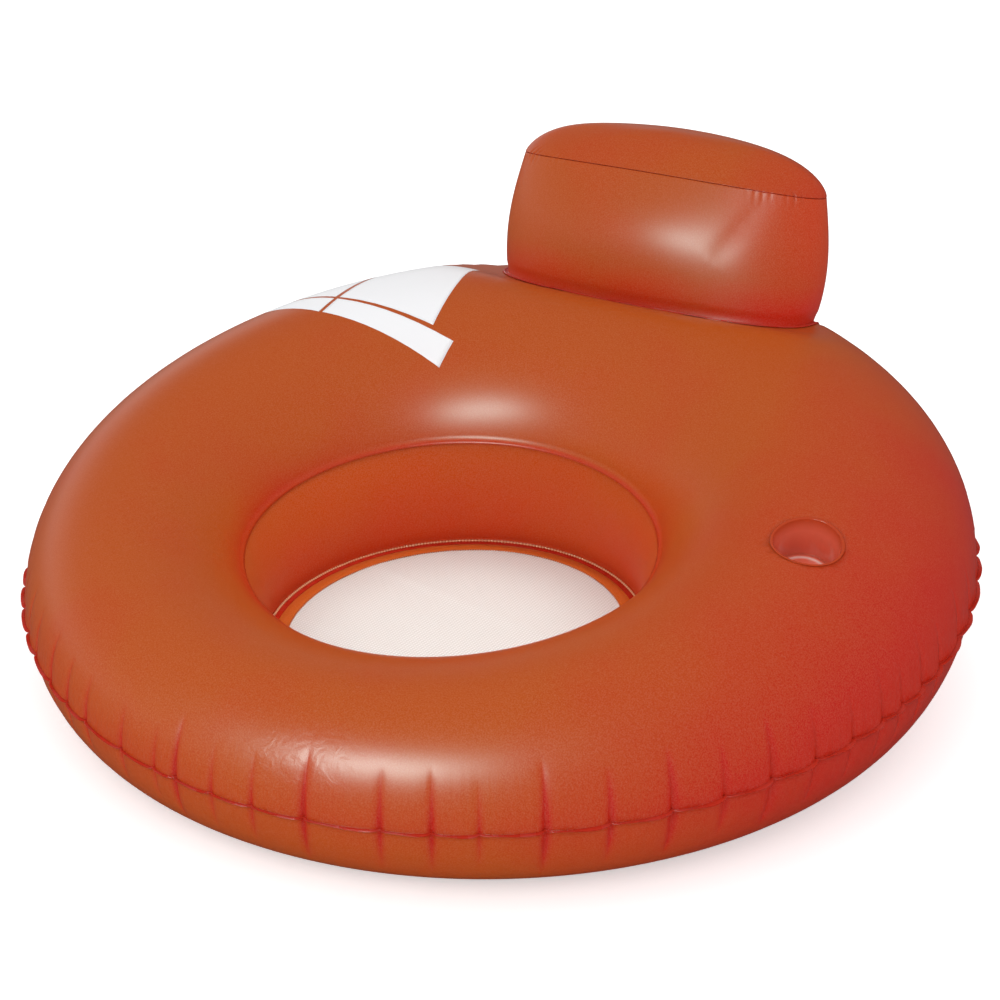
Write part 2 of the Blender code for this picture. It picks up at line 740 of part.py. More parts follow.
def make_valve(prefix, parts, cutters, soft, hard, empty, sheet):
    """One air valve on a sheet. Its empty's Z points out of the sheet."""
    cut_round_hole(sheet, empty, VALVE_DISC_RADIUS + GAP, VALVE_STEPS, f"{prefix}_hole", cutters)
    disc_top = VALVE_DISC_FILM / 2
    disc = ring_profile(VALVE_HOLE_RADIUS, VALVE_DISC_RADIUS, -disc_top, disc_top)
    turned(disc, f"{prefix}_disc", parts, soft, empty)

    cone_low = disc_top + GAP
    foot = VALVE_HOLE_RADIUS + 2 * CONE_FILM
    collar_low = cone_low + CONE_HEIGHT
    neck = STEM_COLLAR_RADIUS - CONE_FILM
    cone = [
        (foot, cone_low),
        (VALVE_HOLE_RADIUS - CONE_FILM, cone_low),
        (neck - CONE_FILM, collar_low - GAP - CONE_FILM),
        (neck - CONE_FILM, collar_low - GAP),
        (neck + CONE_FILM, collar_low - GAP),
        (foot, cone_low + CONE_FILM),
    ]
    turned(cone, f"{prefix}_cone", parts, soft, empty)

    collar_top = collar_low + COLLAR_THICKNESS
    stem_top = collar_low + STEM_HEIGHT
    lip = (STEM_RADIUS - BORE_RADIUS) / 3
    stem = [
        (STEM_RADIUS - lip, stem_top),
        (STEM_RADIUS, stem_top - lip),
        (STEM_RADIUS, collar_top),
        (STEM_COLLAR_RADIUS, collar_top),
        (STEM_COLLAR_RADIUS, collar_low),
        (BORE_RADIUS, collar_low),
        (BORE_RADIUS, stem_top),
    ]
    stem_frame = moving_frame(f"{prefix}_stem_axis", parts, empty, Vector((0, 0, 0)))
    turned(stem, f"{prefix}_stem", parts, hard, stem_frame)

    flap_frame = moving_frame(f"{prefix}_flap_axis", parts, empty, Vector((-STEM_RADIUS, 0, collar_low - GAP)))
    make_flap(prefix, parts, soft, flap_frame)
    plug_frame = moving_frame(f"{prefix}_plug_axis", parts, empty, Vector((0, 0, stem_top + GAP)))
    make_plug(prefix, parts, cutters, hard, plug_frame, collar_top - stem_top)


def make_flap(prefix, parts, material, frame):
    """Check flap: a thin disc under the bore, hung from one edge."""
    bm = bmesh.new()
    bmesh.ops.create_cone(
        bm,
        cap_ends=True,
        segments=VALVE_STEPS,
        radius1=(BORE_RADIUS + STEM_RADIUS) / 2,
        radius2=(BORE_RADIUS + STEM_RADIUS) / 2,
        depth=FLAP_THICKNESS,
        matrix=Matrix.Translation((STEM_RADIUS, 0, -FLAP_THICKNESS / 2)),
    )
    obj = object_from(bm, f"{prefix}_flap", parts, material)
    obj.parent = frame


def make_plug(prefix, parts, cutters, material, frame, ring_low):
    """Plug with its strap: one moulding whose ring runs loosely on the stem."""
    pin = BORE_RADIUS - PLUG_CLEARANCE
    head = PLUG_HEAD_RADIUS
    thick = PLUG_HEAD_THICKNESS
    soft_edge = thick / 4
    profile = [
        (0.0, thick),
        (head - soft_edge, thick),
        (head, thick - soft_edge),
        (head, soft_edge),
        (head - soft_edge, 0.0),
        (pin, 0.0),
        (pin, -PLUG_LENGTH + pin / 2),
        (pin / 2, -PLUG_LENGTH),
        (0.0, -PLUG_LENGTH),
    ]
    plug = turned(profile, f"{prefix}_plug", parts, material, frame)
    ring_in = STEM_RADIUS + STRAP_RING_CLEARANCE
    ring_out = ring_in + STRAP_RING_WIDTH
    loop = turned(
        ring_profile(ring_in, ring_out, ring_low, ring_low + STRAP_RING_THICKNESS),
        f"{prefix}_strap_ring",
        cutters,
        None,
        frame,
    )
    helper(loop)
    strap = make_strap(f"{prefix}_strap", cutters, frame, ring_in, ring_low)
    boolean(plug, loop, "UNION")
    boolean(plug, strap, "UNION")


def make_strap(name, cutters, frame, ring_in, ring_low):
    """The strap's flat bow, from the ring out and up to the plug's head."""
    low = ring_low + STRAP_RING_THICKNESS / 2
    high = PLUG_HEAD_THICKNESS / 2
    bow = STRAP_REACH - STRAP_THICKNESS / 2
    start = ring_in + STRAP_RING_WIDTH / 2
    end = PLUG_HEAD_RADIUS - STRAP_THICKNESS
    middle = (low + high) / 2
    half = (high - low) / 2
    route = [(start, low)]
    for k in range(STRAP_BENDS + 1):
        a = -math.pi / 2 + math.pi * k / STRAP_BENDS
        route.append((bow - half / 2 * (1 - math.cos(a)), middle + half * math.sin(a)))
    route.append((end, high))
    bm = bmesh.new()
    verts = [bm.verts.new((x, -STRAP_WIDTH / 2, z)) for x, z in route]
    edges = [bm.edges.new(pair) for pair in zip(verts, verts[1:])]
    made = bmesh.ops.extrude_edge_only(bm, edges=edges)
    raised = [v for v in made["geom"] if isinstance(v, bmesh.types.BMVert)]
    bmesh.ops.translate(bm, verts=raised, vec=(0, STRAP_WIDTH, 0))
    obj = helper(object_from(bm, name, cutters))
    thicken(obj, STRAP_THICKNESS, 0.0)
    obj.parent = frame
    return obj


def build():
    """Make every piece of the chair."""
    clear_scene()
    parts = new_collection("pool_chair")
    cutters = new_collection("cutters")
    film = vinyl("orange_vinyl_film", (0.50, 0.078, 0.022), 0.34)
    border = vinyl("orange_border_film", (0.62, 0.15, 0.035), 0.30)
    clear = vinyl("clear_orange_film", (0.58, 0.10, 0.035), 0.12, 0.75)
    net = vinyl("white_mesh", (0.82, 0.80, 0.79), 0.80)
    moulded = vinyl("moulded_valve_vinyl", (0.56, 0.10, 0.03), 0.28)

    top_sheet = make_ring_top_sheet(parts, film)
    make_ring_bottom_sheet(parts, film)
    make_inner_wall(parts, film)
    stack = lower_stack()
    make_border(parts, "seat_border_upper", stack["upper_border"], border)
    make_border(parts, "seat_border_lower", stack["lower_border"], border)
    make_seat_mesh(parts, cutters, net)

    ring_solid = make_ring_solid(cutters)
    wall = make_backrest_wall(parts, film, ring_solid)
    make_backrest_top_panel(parts, film)

    surface = loft(top_loops())
    surface.normal_update()
    sheet_tree = BVHTree.FromBMesh(surface)
    surface.free()
    make_cup_holder(parts, cutters, clear, sheet_tree, top_sheet)

    tube = Tube(RING_VALVE_ANGLE)
    spot = ring_point(RING_VALVE_ANGLE, tube.outer - RING_VALVE_FROM_SEAM, 2 * CREST_BACK)
    point, normal = cast(sheet_tree, spot, Vector((0, 0, -1)))
    ring_frame = frame_on(point, normal if normal.z > 0 else -normal, "ring_valve_axis", parts)
    make_valve("ring_valve", parts, cutters, film, moulded, ring_frame, top_sheet)

    across, back, up = backrest_axes()
    surface = loft(backrest_band_loops())
    surface.normal_update()
    wall_tree = BVHTree.FromBMesh(surface)
    surface.free()
    start = backrest_base() + across * BACKREST_VALVE_SIDE + up * BACKREST_VALVE_UP
    point, normal = cast(wall_tree, start, back)
    if normal.dot(back) < 0:
        normal = -normal
    rear_frame = frame_on(point, normal, "backrest_valve_axis", parts)
    make_valve("backrest_valve", parts, cutters, film, moulded, rear_frame, wall)


build()
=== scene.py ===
import json
import math
import random

import bmesh
import bpy
from mathutils import Matrix, Vector
from mathutils.bvhtree import BVHTree


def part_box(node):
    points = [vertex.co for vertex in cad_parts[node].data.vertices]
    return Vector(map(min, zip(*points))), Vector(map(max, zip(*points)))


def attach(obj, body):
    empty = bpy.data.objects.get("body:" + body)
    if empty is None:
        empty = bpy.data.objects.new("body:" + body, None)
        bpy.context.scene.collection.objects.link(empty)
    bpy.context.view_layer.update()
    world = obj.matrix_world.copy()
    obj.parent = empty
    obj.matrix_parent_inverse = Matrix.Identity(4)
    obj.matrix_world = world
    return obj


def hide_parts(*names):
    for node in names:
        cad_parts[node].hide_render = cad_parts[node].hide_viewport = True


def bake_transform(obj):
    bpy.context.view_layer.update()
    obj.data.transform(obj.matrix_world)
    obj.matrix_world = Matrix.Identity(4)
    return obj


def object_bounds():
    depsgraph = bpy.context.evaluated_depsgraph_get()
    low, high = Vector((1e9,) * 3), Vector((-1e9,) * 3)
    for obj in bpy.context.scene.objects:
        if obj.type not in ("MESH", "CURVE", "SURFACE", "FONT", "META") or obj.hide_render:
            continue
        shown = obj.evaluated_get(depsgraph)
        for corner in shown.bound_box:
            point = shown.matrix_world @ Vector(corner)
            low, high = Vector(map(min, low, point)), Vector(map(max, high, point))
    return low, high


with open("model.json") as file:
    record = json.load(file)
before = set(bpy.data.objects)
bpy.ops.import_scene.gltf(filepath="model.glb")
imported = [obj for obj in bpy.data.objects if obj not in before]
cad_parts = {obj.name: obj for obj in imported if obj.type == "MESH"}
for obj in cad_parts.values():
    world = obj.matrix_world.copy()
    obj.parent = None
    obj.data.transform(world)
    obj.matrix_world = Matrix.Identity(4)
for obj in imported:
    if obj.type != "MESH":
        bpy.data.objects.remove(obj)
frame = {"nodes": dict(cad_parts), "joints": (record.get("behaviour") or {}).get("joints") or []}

cad_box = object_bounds()

# The air ring's top film. The real one is a flat doughnut of frosted vinyl, 0.3 mm thick, welded to
# the bottom film round its edge. Blown up, the flat film has too much edge for its round, so it
# gathers there.
FILM = 0.0004
GAP = 0.0003
SEAM_RADIUS = 0.520
OUTER_FLANGE = 0.0024
SIDE_FLANGE = 0.0020
UPPER_FLANGE = 0.0052
UPPER_HANG = 0.0046
LOWER_FLANGE = 0.0095
HOLE_Y = -0.105
UPPER_HALF = (0.229, 0.214)
LOWER_HALF = (0.204, 0.227)
LOWER_HOLE_Y = -0.091
CREST_FRONT = 0.175
CREST_ARM = 0.248
CREST_BACK = 0.3415
SEAM_FRONT = 0.077
SEAM_BACK = 0.177
WELD_FRONT = 0.139
WELD_BACK = 0.198
CREST_AT = 0.507

# Each gather is its direction round the weld in degrees, and how deep it is against the deepest.
# The ones in front stand where the photograph shows them, and the rest are spaced evenly round the
# back, each shifted a little at random.
FRONT_GATHERS = [
    (-147.0, 0.5), (-142.5, 0.6), (-137.5, 0.5), (-132.0, 0.7), (-127.0, 0.6), (-121.0, 0.7),
    (-116.0, 0.6), (-111.5, 0.6), (-104.5, 0.5), (-99.0, 0.4), (-96.0, 0.9), (-91.0, 0.5),
    (-86.0, 0.6), (-80.0, 1.0), (-71.8, 0.8), (-66.5, 0.8), (-61.7, 0.5), (-55.1, 1.0),
    (-48.5, 0.7), (-42.0, 0.9), (-36.2, 0.6), (-30.5, 0.9), (-24.7, 0.7), (-19.3, 0.6),
    (-14.4, 0.7), (-10.8, 0.5), (-6.4, 0.7), (-2.0, 0.5), (4.2, 0.6),
]
BACK_GATHERS = 34
GATHER_STEPS = 12
GATHER_CROWDING = 0.80
GATHER_DEPTH = 0.0046
GATHER_WIDTH = 0.0024
GATHER_REACH = 0.058
PILLOW = 0.0005
SCALLOP = 0.0026
SCALLOP_REACH = 0.012
GATHER_FADE = 0.8
SHALLOW_REACH = 0.45
FRONT_RIPPLE = 0.25

draw = random.Random(7)
gathers = list(FRONT_GATHERS)
back_gap = (360.0 - (FRONT_GATHERS[-1][0] - FRONT_GATHERS[0][0])) / (BACK_GATHERS + 1)
for k in range(BACK_GATHERS):
    turn = FRONT_GATHERS[-1][0] + back_gap * (k + 1 + draw.uniform(-0.22, 0.22))
    gathers.append((turn, draw.uniform(0.4, 1.0)))
gathers = [(math.radians(turn), depth) for turn, depth in gathers]
RING_COLUMNS = GATHER_STEPS * len(gathers)
POINT_FACTS = ("weld", "along", "stretch_and_shading", "slack")


def rolled(rows, columns, place, closed_middle=False):
    """A flat grid rolled into a round one about Z, with its points then moved to place(column, row).

    What place says about a point besides is stored on it, for the materials to read.
    """
    sheet = bmesh.new()
    bmesh.ops.create_grid(sheet, x_segments=columns, y_segments=rows, size=0.5)
    first = 0 if closed_middle else 1
    for vert in sheet.verts:
        angle = 2 * math.pi * (vert.co.x + 0.5)
        radius = (vert.co.y + 0.5) * rows + first
        vert.co = (radius * math.cos(angle), radius * math.sin(angle), 0)
    bmesh.ops.remove_doubles(sheet, verts=sheet.verts, dist=0.0001)
    bmesh.ops.recalc_face_normals(sheet, faces=sheet.faces)
    if sum(face.normal.z for face in sheet.faces) < 0:
        bmesh.ops.reverse_faces(sheet, faces=sheet.faces)
    layers = [sheet.verts.layers.float.new(name) for name in POINT_FACTS]
    for vert in sheet.verts:
        row = round(math.hypot(vert.co.x, vert.co.y)) - first
        column = round(math.atan2(vert.co.y, vert.co.x) / (2 * math.pi) * columns) % columns
        vert.co, *facts = place(column, row)
        for layer, fact in zip(layers, facts):
            vert[layer] = fact
    return sheet


def in_scene(name, data):
    """A new object in the scene, at the origin."""
    thing = bpy.data.objects.new(name, data)
    bpy.context.scene.collection.objects.link(thing)
    return thing


def finished(grid, name, body, material, thickness=0.0):
    """Turn a bmesh into a smooth piece of the chair that rides on a body."""
    mesh = bpy.data.meshes.new(name)
    grid.to_mesh(mesh)
    grid.free()
    mesh.shade_smooth()
    mesh.materials.append(material)
    piece = in_scene(name, mesh)
    if thickness:
        film = piece.modifiers.new("film", "SOLIDIFY")
        film.thickness = thickness
        film.offset = -1.0
    if body:
        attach(piece, body)
    return piece


def outer_reach(theta):
    """Plan distance from the hole's centre to the outer weld."""
    return -HOLE_Y * math.sin(theta) + math.sqrt(SEAM_RADIUS**2 - (HOLE_Y * math.cos(theta)) ** 2)


def hole_reach(theta, half, centre_y, inset=0.0):
    """Plan distance from the hole's centre to one of its two oval welds."""
    ax, ay = half[0] - inset, half[1] - inset
    c, s = math.cos(theta), math.sin(theta)
    shift = HOLE_Y - centre_y
    a = (c / ax) ** 2 + (s / ay) ** 2
    b = shift * s / ay**2
    return (-b + math.sqrt(b * b - a * ((shift / ay) ** 2 - 1.0))) / a


def upper_reach(theta, inset=0.0):
    return hole_reach(theta, UPPER_HALF, HOLE_Y, inset)


def lower_reach(theta, inset=0.0):
    return hole_reach(theta, LOWER_HALF, LOWER_HOLE_Y, inset)


def from_hole(theta, reach, z):
    """A point by its plan direction and distance from the hole's centre."""
    return Vector((reach * math.cos(theta), HOLE_Y + reach * math.sin(theta), z))


def between(low, high, share):
    return low + (high - low) * share


def weld_height(theta):
    return between(WELD_FRONT, WELD_BACK, (1 + math.sin(theta)) / 2)


class Section:
    """The tube's section at one column, and the gathers beside it."""

    def __init__(self, alpha, near):
        self.alpha = alpha
        self.near = near
        self.side = between(FRONT_RIPPLE, 1.0, math.cos(alpha) ** 2)
        if near:
            self.across = near[1][0] / (near[1][0] - near[2][0])
        self.theta = math.atan2(SEAM_RADIUS * math.sin(alpha) - HOLE_Y, SEAM_RADIUS * math.cos(alpha))
        self.inner = upper_reach(self.theta)
        self.low_inner = lower_reach(self.theta)
        self.outer = outer_reach(self.theta)
        self.width = self.outer - self.inner
        s = math.sin(self.theta)
        bow = (CREST_BACK + CREST_FRONT) / 2 - CREST_ARM
        self.crest = CREST_ARM + (CREST_BACK - CREST_FRONT) / 2 * s + bow * s * s
        self.seam = between(SEAM_FRONT, SEAM_BACK, (math.sin(alpha) + 1) / 2)
        self.weld = weld_height(self.theta)
        self.rise = self.crest - self.seam
        self.turn = math.acos(1 - (self.crest - self.weld) / self.rise)
        self.crest_reach = self.inner + CREST_AT * self.width

    def top(self, t):
        """Reach, height and normal of the film; t is -1 at the hole's weld, 0 on the crest, 1 outside."""
        side = -1.0 if t < 0 else 1.0
        angle = -t * self.turn if t < 0 else t * math.pi / 2
        half = CREST_AT * self.width / math.sin(self.turn) if t < 0 else (1 - CREST_AT) * self.width
        reach = self.crest_reach + side * half * math.sin(angle)
        z = self.crest - self.rise * (1 - math.cos(angle))
        out = Vector((side * self.rise * math.sin(angle), half * math.cos(angle)))
        return reach, z, out.normalized()

    def gathered(self, distance):
        """How far the film stands out at a distance from the weld: in at a gather, out between two."""
        if distance > GATHER_REACH:
            return 0.0
        total = 0.0
        for arc, depth in self.near:
            reach = GATHER_REACH * between(SHALLOW_REACH, 1.0, depth)
            fade = max(0.0, 1 - distance / reach) ** GATHER_FADE
            total -= GATHER_DEPTH * depth * fade / (1 + (arc / GATHER_WIDTH) ** 2)
        swell = 1 - (2 * self.across - 1) ** 2
        edge = max(0.0, 1 - distance / SCALLOP_REACH) ** 2
        pillow = PILLOW * (1 - distance / GATHER_REACH) ** 1.2
        return total + swell * (pillow + SCALLOP * self.side * edge)


def ring_sections():
    """A section per column. Columns crowd round the gathers, where the film bends most."""
    turns = [turn for turn, _ in gathers]
    made = []
    for k, turn in enumerate(turns):
        after = turns[k + 1] if k + 1 < len(turns) else turns[0] + 2 * math.pi
        for step in range(GATHER_STEPS):
            share = step / GATHER_STEPS
            share -= GATHER_CROWDING * math.sin(2 * math.pi * share) / (2 * math.pi)
            alpha = between(turn, after, share)
            near = []
            for n in range(k - 1, k + 3):
                place = turns[n % len(turns)] + 2 * math.pi * (n // len(turns))
                near.append((SEAM_RADIUS * (alpha - place), gathers[n % len(turns)][1]))
            made.append(Section(alpha, near))
    return made


def section_at(theta):
    """The plain section in a direction from the hole's centre."""
    outer = from_hole(theta, outer_reach(theta), 0.0)
    return Section(math.atan2(outer.y, outer.x), [])


sections = ring_sections()

BACK_HALF = (0.198, 0.088)
BACK_POWER = 2.6
BACK_LEAN = math.radians(9.6)
BACK_SETBACK = 0.137
BACK_SINK = 0.027
BACK_SPREAD = 0.75
CREST_RADIUS_BACK = (1 - CREST_AT) * (outer_reach(math.pi / 2) - upper_reach(math.pi / 2))

middle_back = section_at(math.pi / 2)
front_y = SEAM_RADIUS - BACK_SETBACK - BACK_HALF[1] * math.cos(BACK_LEAN)
front_share = (front_y - HOLE_Y - middle_back.crest_reach) / CREST_RADIUS_BACK
front_z = middle_back.crest - middle_back.rise * (1 - math.sqrt(1 - front_share**2)) - BACK_SINK
backrest_base = Vector((0, SEAM_RADIUS - BACK_SETBACK, front_z - BACK_HALF[1] * math.sin(BACK_LEAN)))


def pressed(point):
    """The backrest's weld pulls the top film down to its own plane, and less so further off."""
    offset = point - backrest_base
    n = BACK_POWER
    rho = (abs(offset.x / BACK_HALF[0]) ** n + abs(offset.y / BACK_HALF[1]) ** n) ** (1 / n)
    share = min(max(1 - (rho - 1) / BACK_SPREAD, 0.0), 1.0)
    share = share * share * (3 - 2 * share)
    plane_z = backrest_base.z - offset.y * math.tan(BACK_LEAN)
    point.z += min(0.0, plane_z - point.z) * share
    return point


def upper_lip(theta, share, z):
    """The hole's upper flange droops before the wall; share is 0 at the weld, 1 at its cut edge."""
    return from_hole(theta, upper_reach(theta, UPPER_FLANGE * share), z - UPPER_HANG * share)


FLANGE_WAVE = 0.0024
WAVE_LEAST = 0.4
FINE_FOLD_REACH = 0.060
LIP_WELD = 0.35
LIP_STRETCH = 0.5
ARC_PER_RISE = 1.35
LIP_SHADE = 0.75
BACK_LIP_LIGHT = 0.7
OUTER_SLACK_AND_SHADE = 0.4
GATHER_SHADE = 1.4
TOP_LIP_ROWS = 2
TOP_INNER_ROWS = 18
TOP_OUTER_ROWS = 32
TOP_FLANGE_ROWS = 3
TOP_ROWS = TOP_LIP_ROWS + TOP_INNER_ROWS + TOP_OUTER_ROWS + TOP_FLANGE_ROWS


def flange_wave(section, share):
    """The narrow double film outside the weld is stiff, so it ripples between two gathers."""
    strength = between(WAVE_LEAST, 1.0, section.near[1][1])
    return FLANGE_WAVE * section.side * share * strength * math.sin(2 * math.pi * section.across)


def flange_point(section, share, z_shift):
    """A point of the outer flange; share is 0 at the weld and 1 at its cut edge."""
    reach = section.outer + section.gathered(0.0) + (OUTER_FLANGE + SIDE_FLANGE * section.side) * share
    z = section.seam + z_shift + flange_wave(section, share)
    return from_hole(section.theta, reach, z)


def top_place(column, row):
    section = sections[column]
    along = SEAM_RADIUS * section.alpha
    if row < TOP_LIP_ROWS:
        point = upper_lip(section.theta, 1 - row / TOP_LIP_ROWS, section.weld)
        return point, LIP_WELD, along, LIP_STRETCH
    row -= TOP_LIP_ROWS
    if row > TOP_INNER_ROWS + TOP_OUTER_ROWS:
        share = (row - TOP_INNER_ROWS - TOP_OUTER_ROWS) / TOP_FLANGE_ROWS
        return flange_point(section, share, GAP / 2 + FILM), 1.0, along, 0.0
    if row < TOP_INNER_ROWS:
        t = (row / TOP_INNER_ROWS) ** 1.4 - 1
    else:
        t = math.sin(math.pi / 2 * (row - TOP_INNER_ROWS) / TOP_OUTER_ROWS)
    reach, z, out = section.top(t)
    distance = (1 - t) * section.rise * ARC_PER_RISE
    shift = section.gathered(distance) if t > 0 else 0.0
    point = from_hole(section.theta, reach + shift * out.x, z + shift * out.y)
    if t < 1:
        point = pressed(point)
    else:
        point.z += GAP / 2 + FILM
    weld = 1.0 if row == TOP_INNER_ROWS + TOP_OUTER_ROWS else 0.0
    # Painted shade: by the hole's weld the film is painted redder, and less so at the back, where the
    # light falls on it.
    if t < 0:
        back = max(0.0, math.sin(section.theta))
        return point, weld, along, 1 - (LIP_SHADE - BACK_LIP_LIGHT * back) * t**8, 0.0
    slack = max(0.0, 1 - distance / FINE_FOLD_REACH) ** 1.5
    # Partly painted shade: the film is painted redder towards the outer weld, where it is also slack, and
    # redder in the gathers' grooves as painted shade.
    stretch_and_shading = 1 - OUTER_SLACK_AND_SHADE * t**4 + min(0.0, GATHER_SHADE * shift / GATHER_DEPTH)
    return point, weld, along, stretch_and_shading, slack


def paint(code):
    """A colour's sRGB hex code as linear red, green, blue and alpha."""
    channels = [int(code[k : k + 2], 16) / 255 for k in (1, 3, 5)]
    return (*[c / 12.92 if c <= 0.04045 else ((c + 0.055) / 1.055) ** 2.4 for c in channels], 1.0)


def feed(node, inputs):
    """Fill a node's inputs, by name or in order, with values, sockets or other nodes' results."""
    for name, value in inputs.items() if isinstance(inputs, dict) else enumerate(inputs):
        if isinstance(value, bpy.types.Node):
            value = next(socket for socket in value.outputs if socket.enabled)
        if isinstance(value, bpy.types.NodeSocket):
            node.id_data.links.new(value, node.inputs[name])
        else:
            node.inputs[name].default_value = value


def add(material, kind, inputs=(), **settings):
    """Add a shader node with its settings and its inputs."""
    node = material.node_tree.nodes.new("ShaderNode" + kind)
    for name, value in settings.items():
        setattr(node, name, value)
    feed(node, inputs)
    return node


def finish_of(name, **inputs):
    """A new material whose shader has these uniform values, and that shader."""
    material = bpy.data.materials.new(name)
    material.use_nodes = True
    shader = material.node_tree.nodes["Principled BSDF"]
    feed(shader, {key.replace("_", " "): value for key, value in inputs.items()})
    return material, shader


# Frosted PVC film, calendered between rollers with a fine matt grain: deep red where the film is slack
# or lies double, lighter orange where the air stretches it thin on the crest, and glossy patches on the
# welds. The same two colours also carry painted light and shade: the film is painted oranger where light
# falls on it, and redder in the gathers, by the hole's lip, towards the outer weld and towards the right.
# The real grain is too fine to show, so it is drawn 1.3 mm wide.
VINYL_SLACK_AND_SHADE = "#C02812"
VINYL_STRETCHED_AND_LIT = "#BA5112"
VINYL_WELD = "#BE2C1A"
NOISE_SPAN = (0.3, 0.7)
CLOUDS_PER_M = 9.0
CLOUD_HUE = 0.12
SHADE_FROM_X, SHADE_TO_X = 0.25, 0.50
RIGHT_SHADE_REDDENING = 0.90
GRAIN_MM = 1.3
GRAIN_HUE = 0.05
GRAIN_ROUGHNESS = 0.03
GRAIN_DEPTH = 0.00003
FROST = 0.045
CRUMPLED_PATCHES_PER_M = 6.0
CRUMPLED_SPAN = (0.66, 0.76)
CRUMPLES_PER_M = 70.0
CRUMPLE_DEPTH = 0.0005
WELD_PATCH_MM = 30.0
WELD_ROUGHNESS = (0.14, 0.44)
FINE_FOLD_MM = 7.0
FINE_FOLD_DEPTH = 0.0008


def vinyl_film(name, roughness, slack=VINYL_SLACK_AND_SHADE, stretched=VINYL_STRETCHED_AND_LIT, shine=0.30):
    """Frosted orange film with its weld bands, its fine folds by the weld and its grain."""
    material, shader = finish_of(name, IOR=1.5, Specular_IOR_Level=shine)
    coords = add(material, "TexCoord").outputs["Object"]
    weld, along, stretch_and_shading, folding = [
        add(material, "Attribute", attribute_name=fact).outputs["Fac"] for fact in POINT_FACTS
    ]
    cloud = add(material, "TexNoise", {"Vector": coords, "Scale": CLOUDS_PER_M, "Detail": 2.0})
    drift = add(material, "MapRange", (cloud, *NOISE_SPAN, -CLOUD_HUE, CLOUD_HUE))
    # Painted shade: the film is painted redder towards +X, the right, where the light falls least.
    east = add(material, "SeparateXYZ", (coords,))
    painted_right_shade = add(material, "MapRange", (east, SHADE_FROM_X, SHADE_TO_X, 0.0, -RIGHT_SHADE_REDDENING))
    uneven = add(material, "Math", (drift, painted_right_shade), operation="ADD")
    grain = add(material, "TexNoise", {"Vector": coords, "Scale": 1000 / GRAIN_MM, "Detail": 1.0})
    fleck = add(material, "MapRange", (grain, *NOISE_SPAN, -GRAIN_HUE, GRAIN_HUE))
    uneven = add(material, "Math", (uneven, fleck), operation="ADD")
    share = add(material, "Math", (stretch_and_shading, uneven), operation="ADD", use_clamp=True)
    hues = {"Factor": share, 6: paint(slack), 7: paint(stretched)}
    hue = add(material, "Mix", hues, data_type="RGBA")
    frosting = {"Factor": FROST, 6: hue, 7: grain}
    frost = add(material, "Mix", frosting, data_type="RGBA", blend_type="LINEAR_LIGHT")
    weld_hues = {"Factor": weld, 6: frost, 7: paint(VINYL_WELD)}
    weld_hue = add(material, "Mix", weld_hues, data_type="RGBA")
    waves = []
    for spacing in (WELD_PATCH_MM, FINE_FOLD_MM):
        place = add(material, "Math", (along, 1000 / spacing), operation="MULTIPLY")
        wave = {"W": place, "Scale": 1.0, "Detail": 1.0}
        waves.append(add(material, "TexNoise", wave, noise_dimensions="1D"))
    patch, fold = waves
    sealed = add(material, "MapRange", (patch, 0.4, 0.6, *WELD_ROUGHNESS))
    gloss = add(material, "Mix", {"Factor": weld, "A": roughness, "B": sealed})
    speckle = add(material, "MapRange", (grain, 0.0, 1.0, -GRAIN_ROUGHNESS, GRAIN_ROUGHNESS))
    rough = add(material, "Math", (gloss, speckle), operation="ADD")
    patches = {"Vector": coords, "Scale": CRUMPLED_PATCHES_PER_M, "Detail": 0.0}
    creased = add(material, "TexNoise", patches)
    patchy = add(material, "MapRange", (creased, *CRUMPLED_SPAN))
    crumples = {"Vector": coords, "Scale": CRUMPLES_PER_M, "Detail": 3.0, "Distortion": 1.0}
    crumple = add(material, "TexNoise", crumples)
    crumpled = add(material, "Math", (crumple, patchy), operation="MULTIPLY")
    folded = add(material, "Math", (fold, folding), operation="MULTIPLY")
    relief = add(material, "Bump", {"Height": crumpled, "Distance": CRUMPLE_DEPTH})
    relief = add(material, "Bump", {"Height": folded, "Distance": FINE_FOLD_DEPTH, "Normal": relief})
    graining = {"Height": grain, "Distance": GRAIN_DEPTH, "Strength": 0.5, "Normal": relief}
    relief = add(material, "Bump", graining)
    feed(shader, {"Base Color": weld_hue, "Roughness": rough, "Normal": relief})
    return material


ring_vinyl = vinyl_film("frosted_pvc_film", 0.36)

VALVE_DISC = 0.0150
VALVE_LAP = 0.0015
LEVEL_SPREAD = 2.6


def standing_on(point, normal):
    """A frame whose Z leaves a sheet at a point."""
    side = Vector((0, 0, 1)).cross(normal).normalized()
    turn = Matrix((side, normal.cross(side), normal)).transposed().to_4x4()
    return Matrix.Translation(point) @ turn


def valve_frame(name):
    """A valve's frame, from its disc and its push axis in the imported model."""
    low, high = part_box(name + "_disc")
    push = next(joint for joint in frame["joints"] if joint["name"] == name + "_push")
    return standing_on((low + high) / 2, Vector(push["axis"]))


def level_round(sheet, place, radius):
    """Bring a sheet level with a stiff disc that is welded in it."""
    back = place.inverted()
    for vert in sheet.verts:
        local = back @ vert.co
        share = (local.xy.length / radius - 1) / (LEVEL_SPREAD - 1)
        if share < 1 and abs(local.z) < radius:
            share = max(share, 0.0)
            local.z *= share * share * (3 - 2 * share)
            vert.co = place @ local


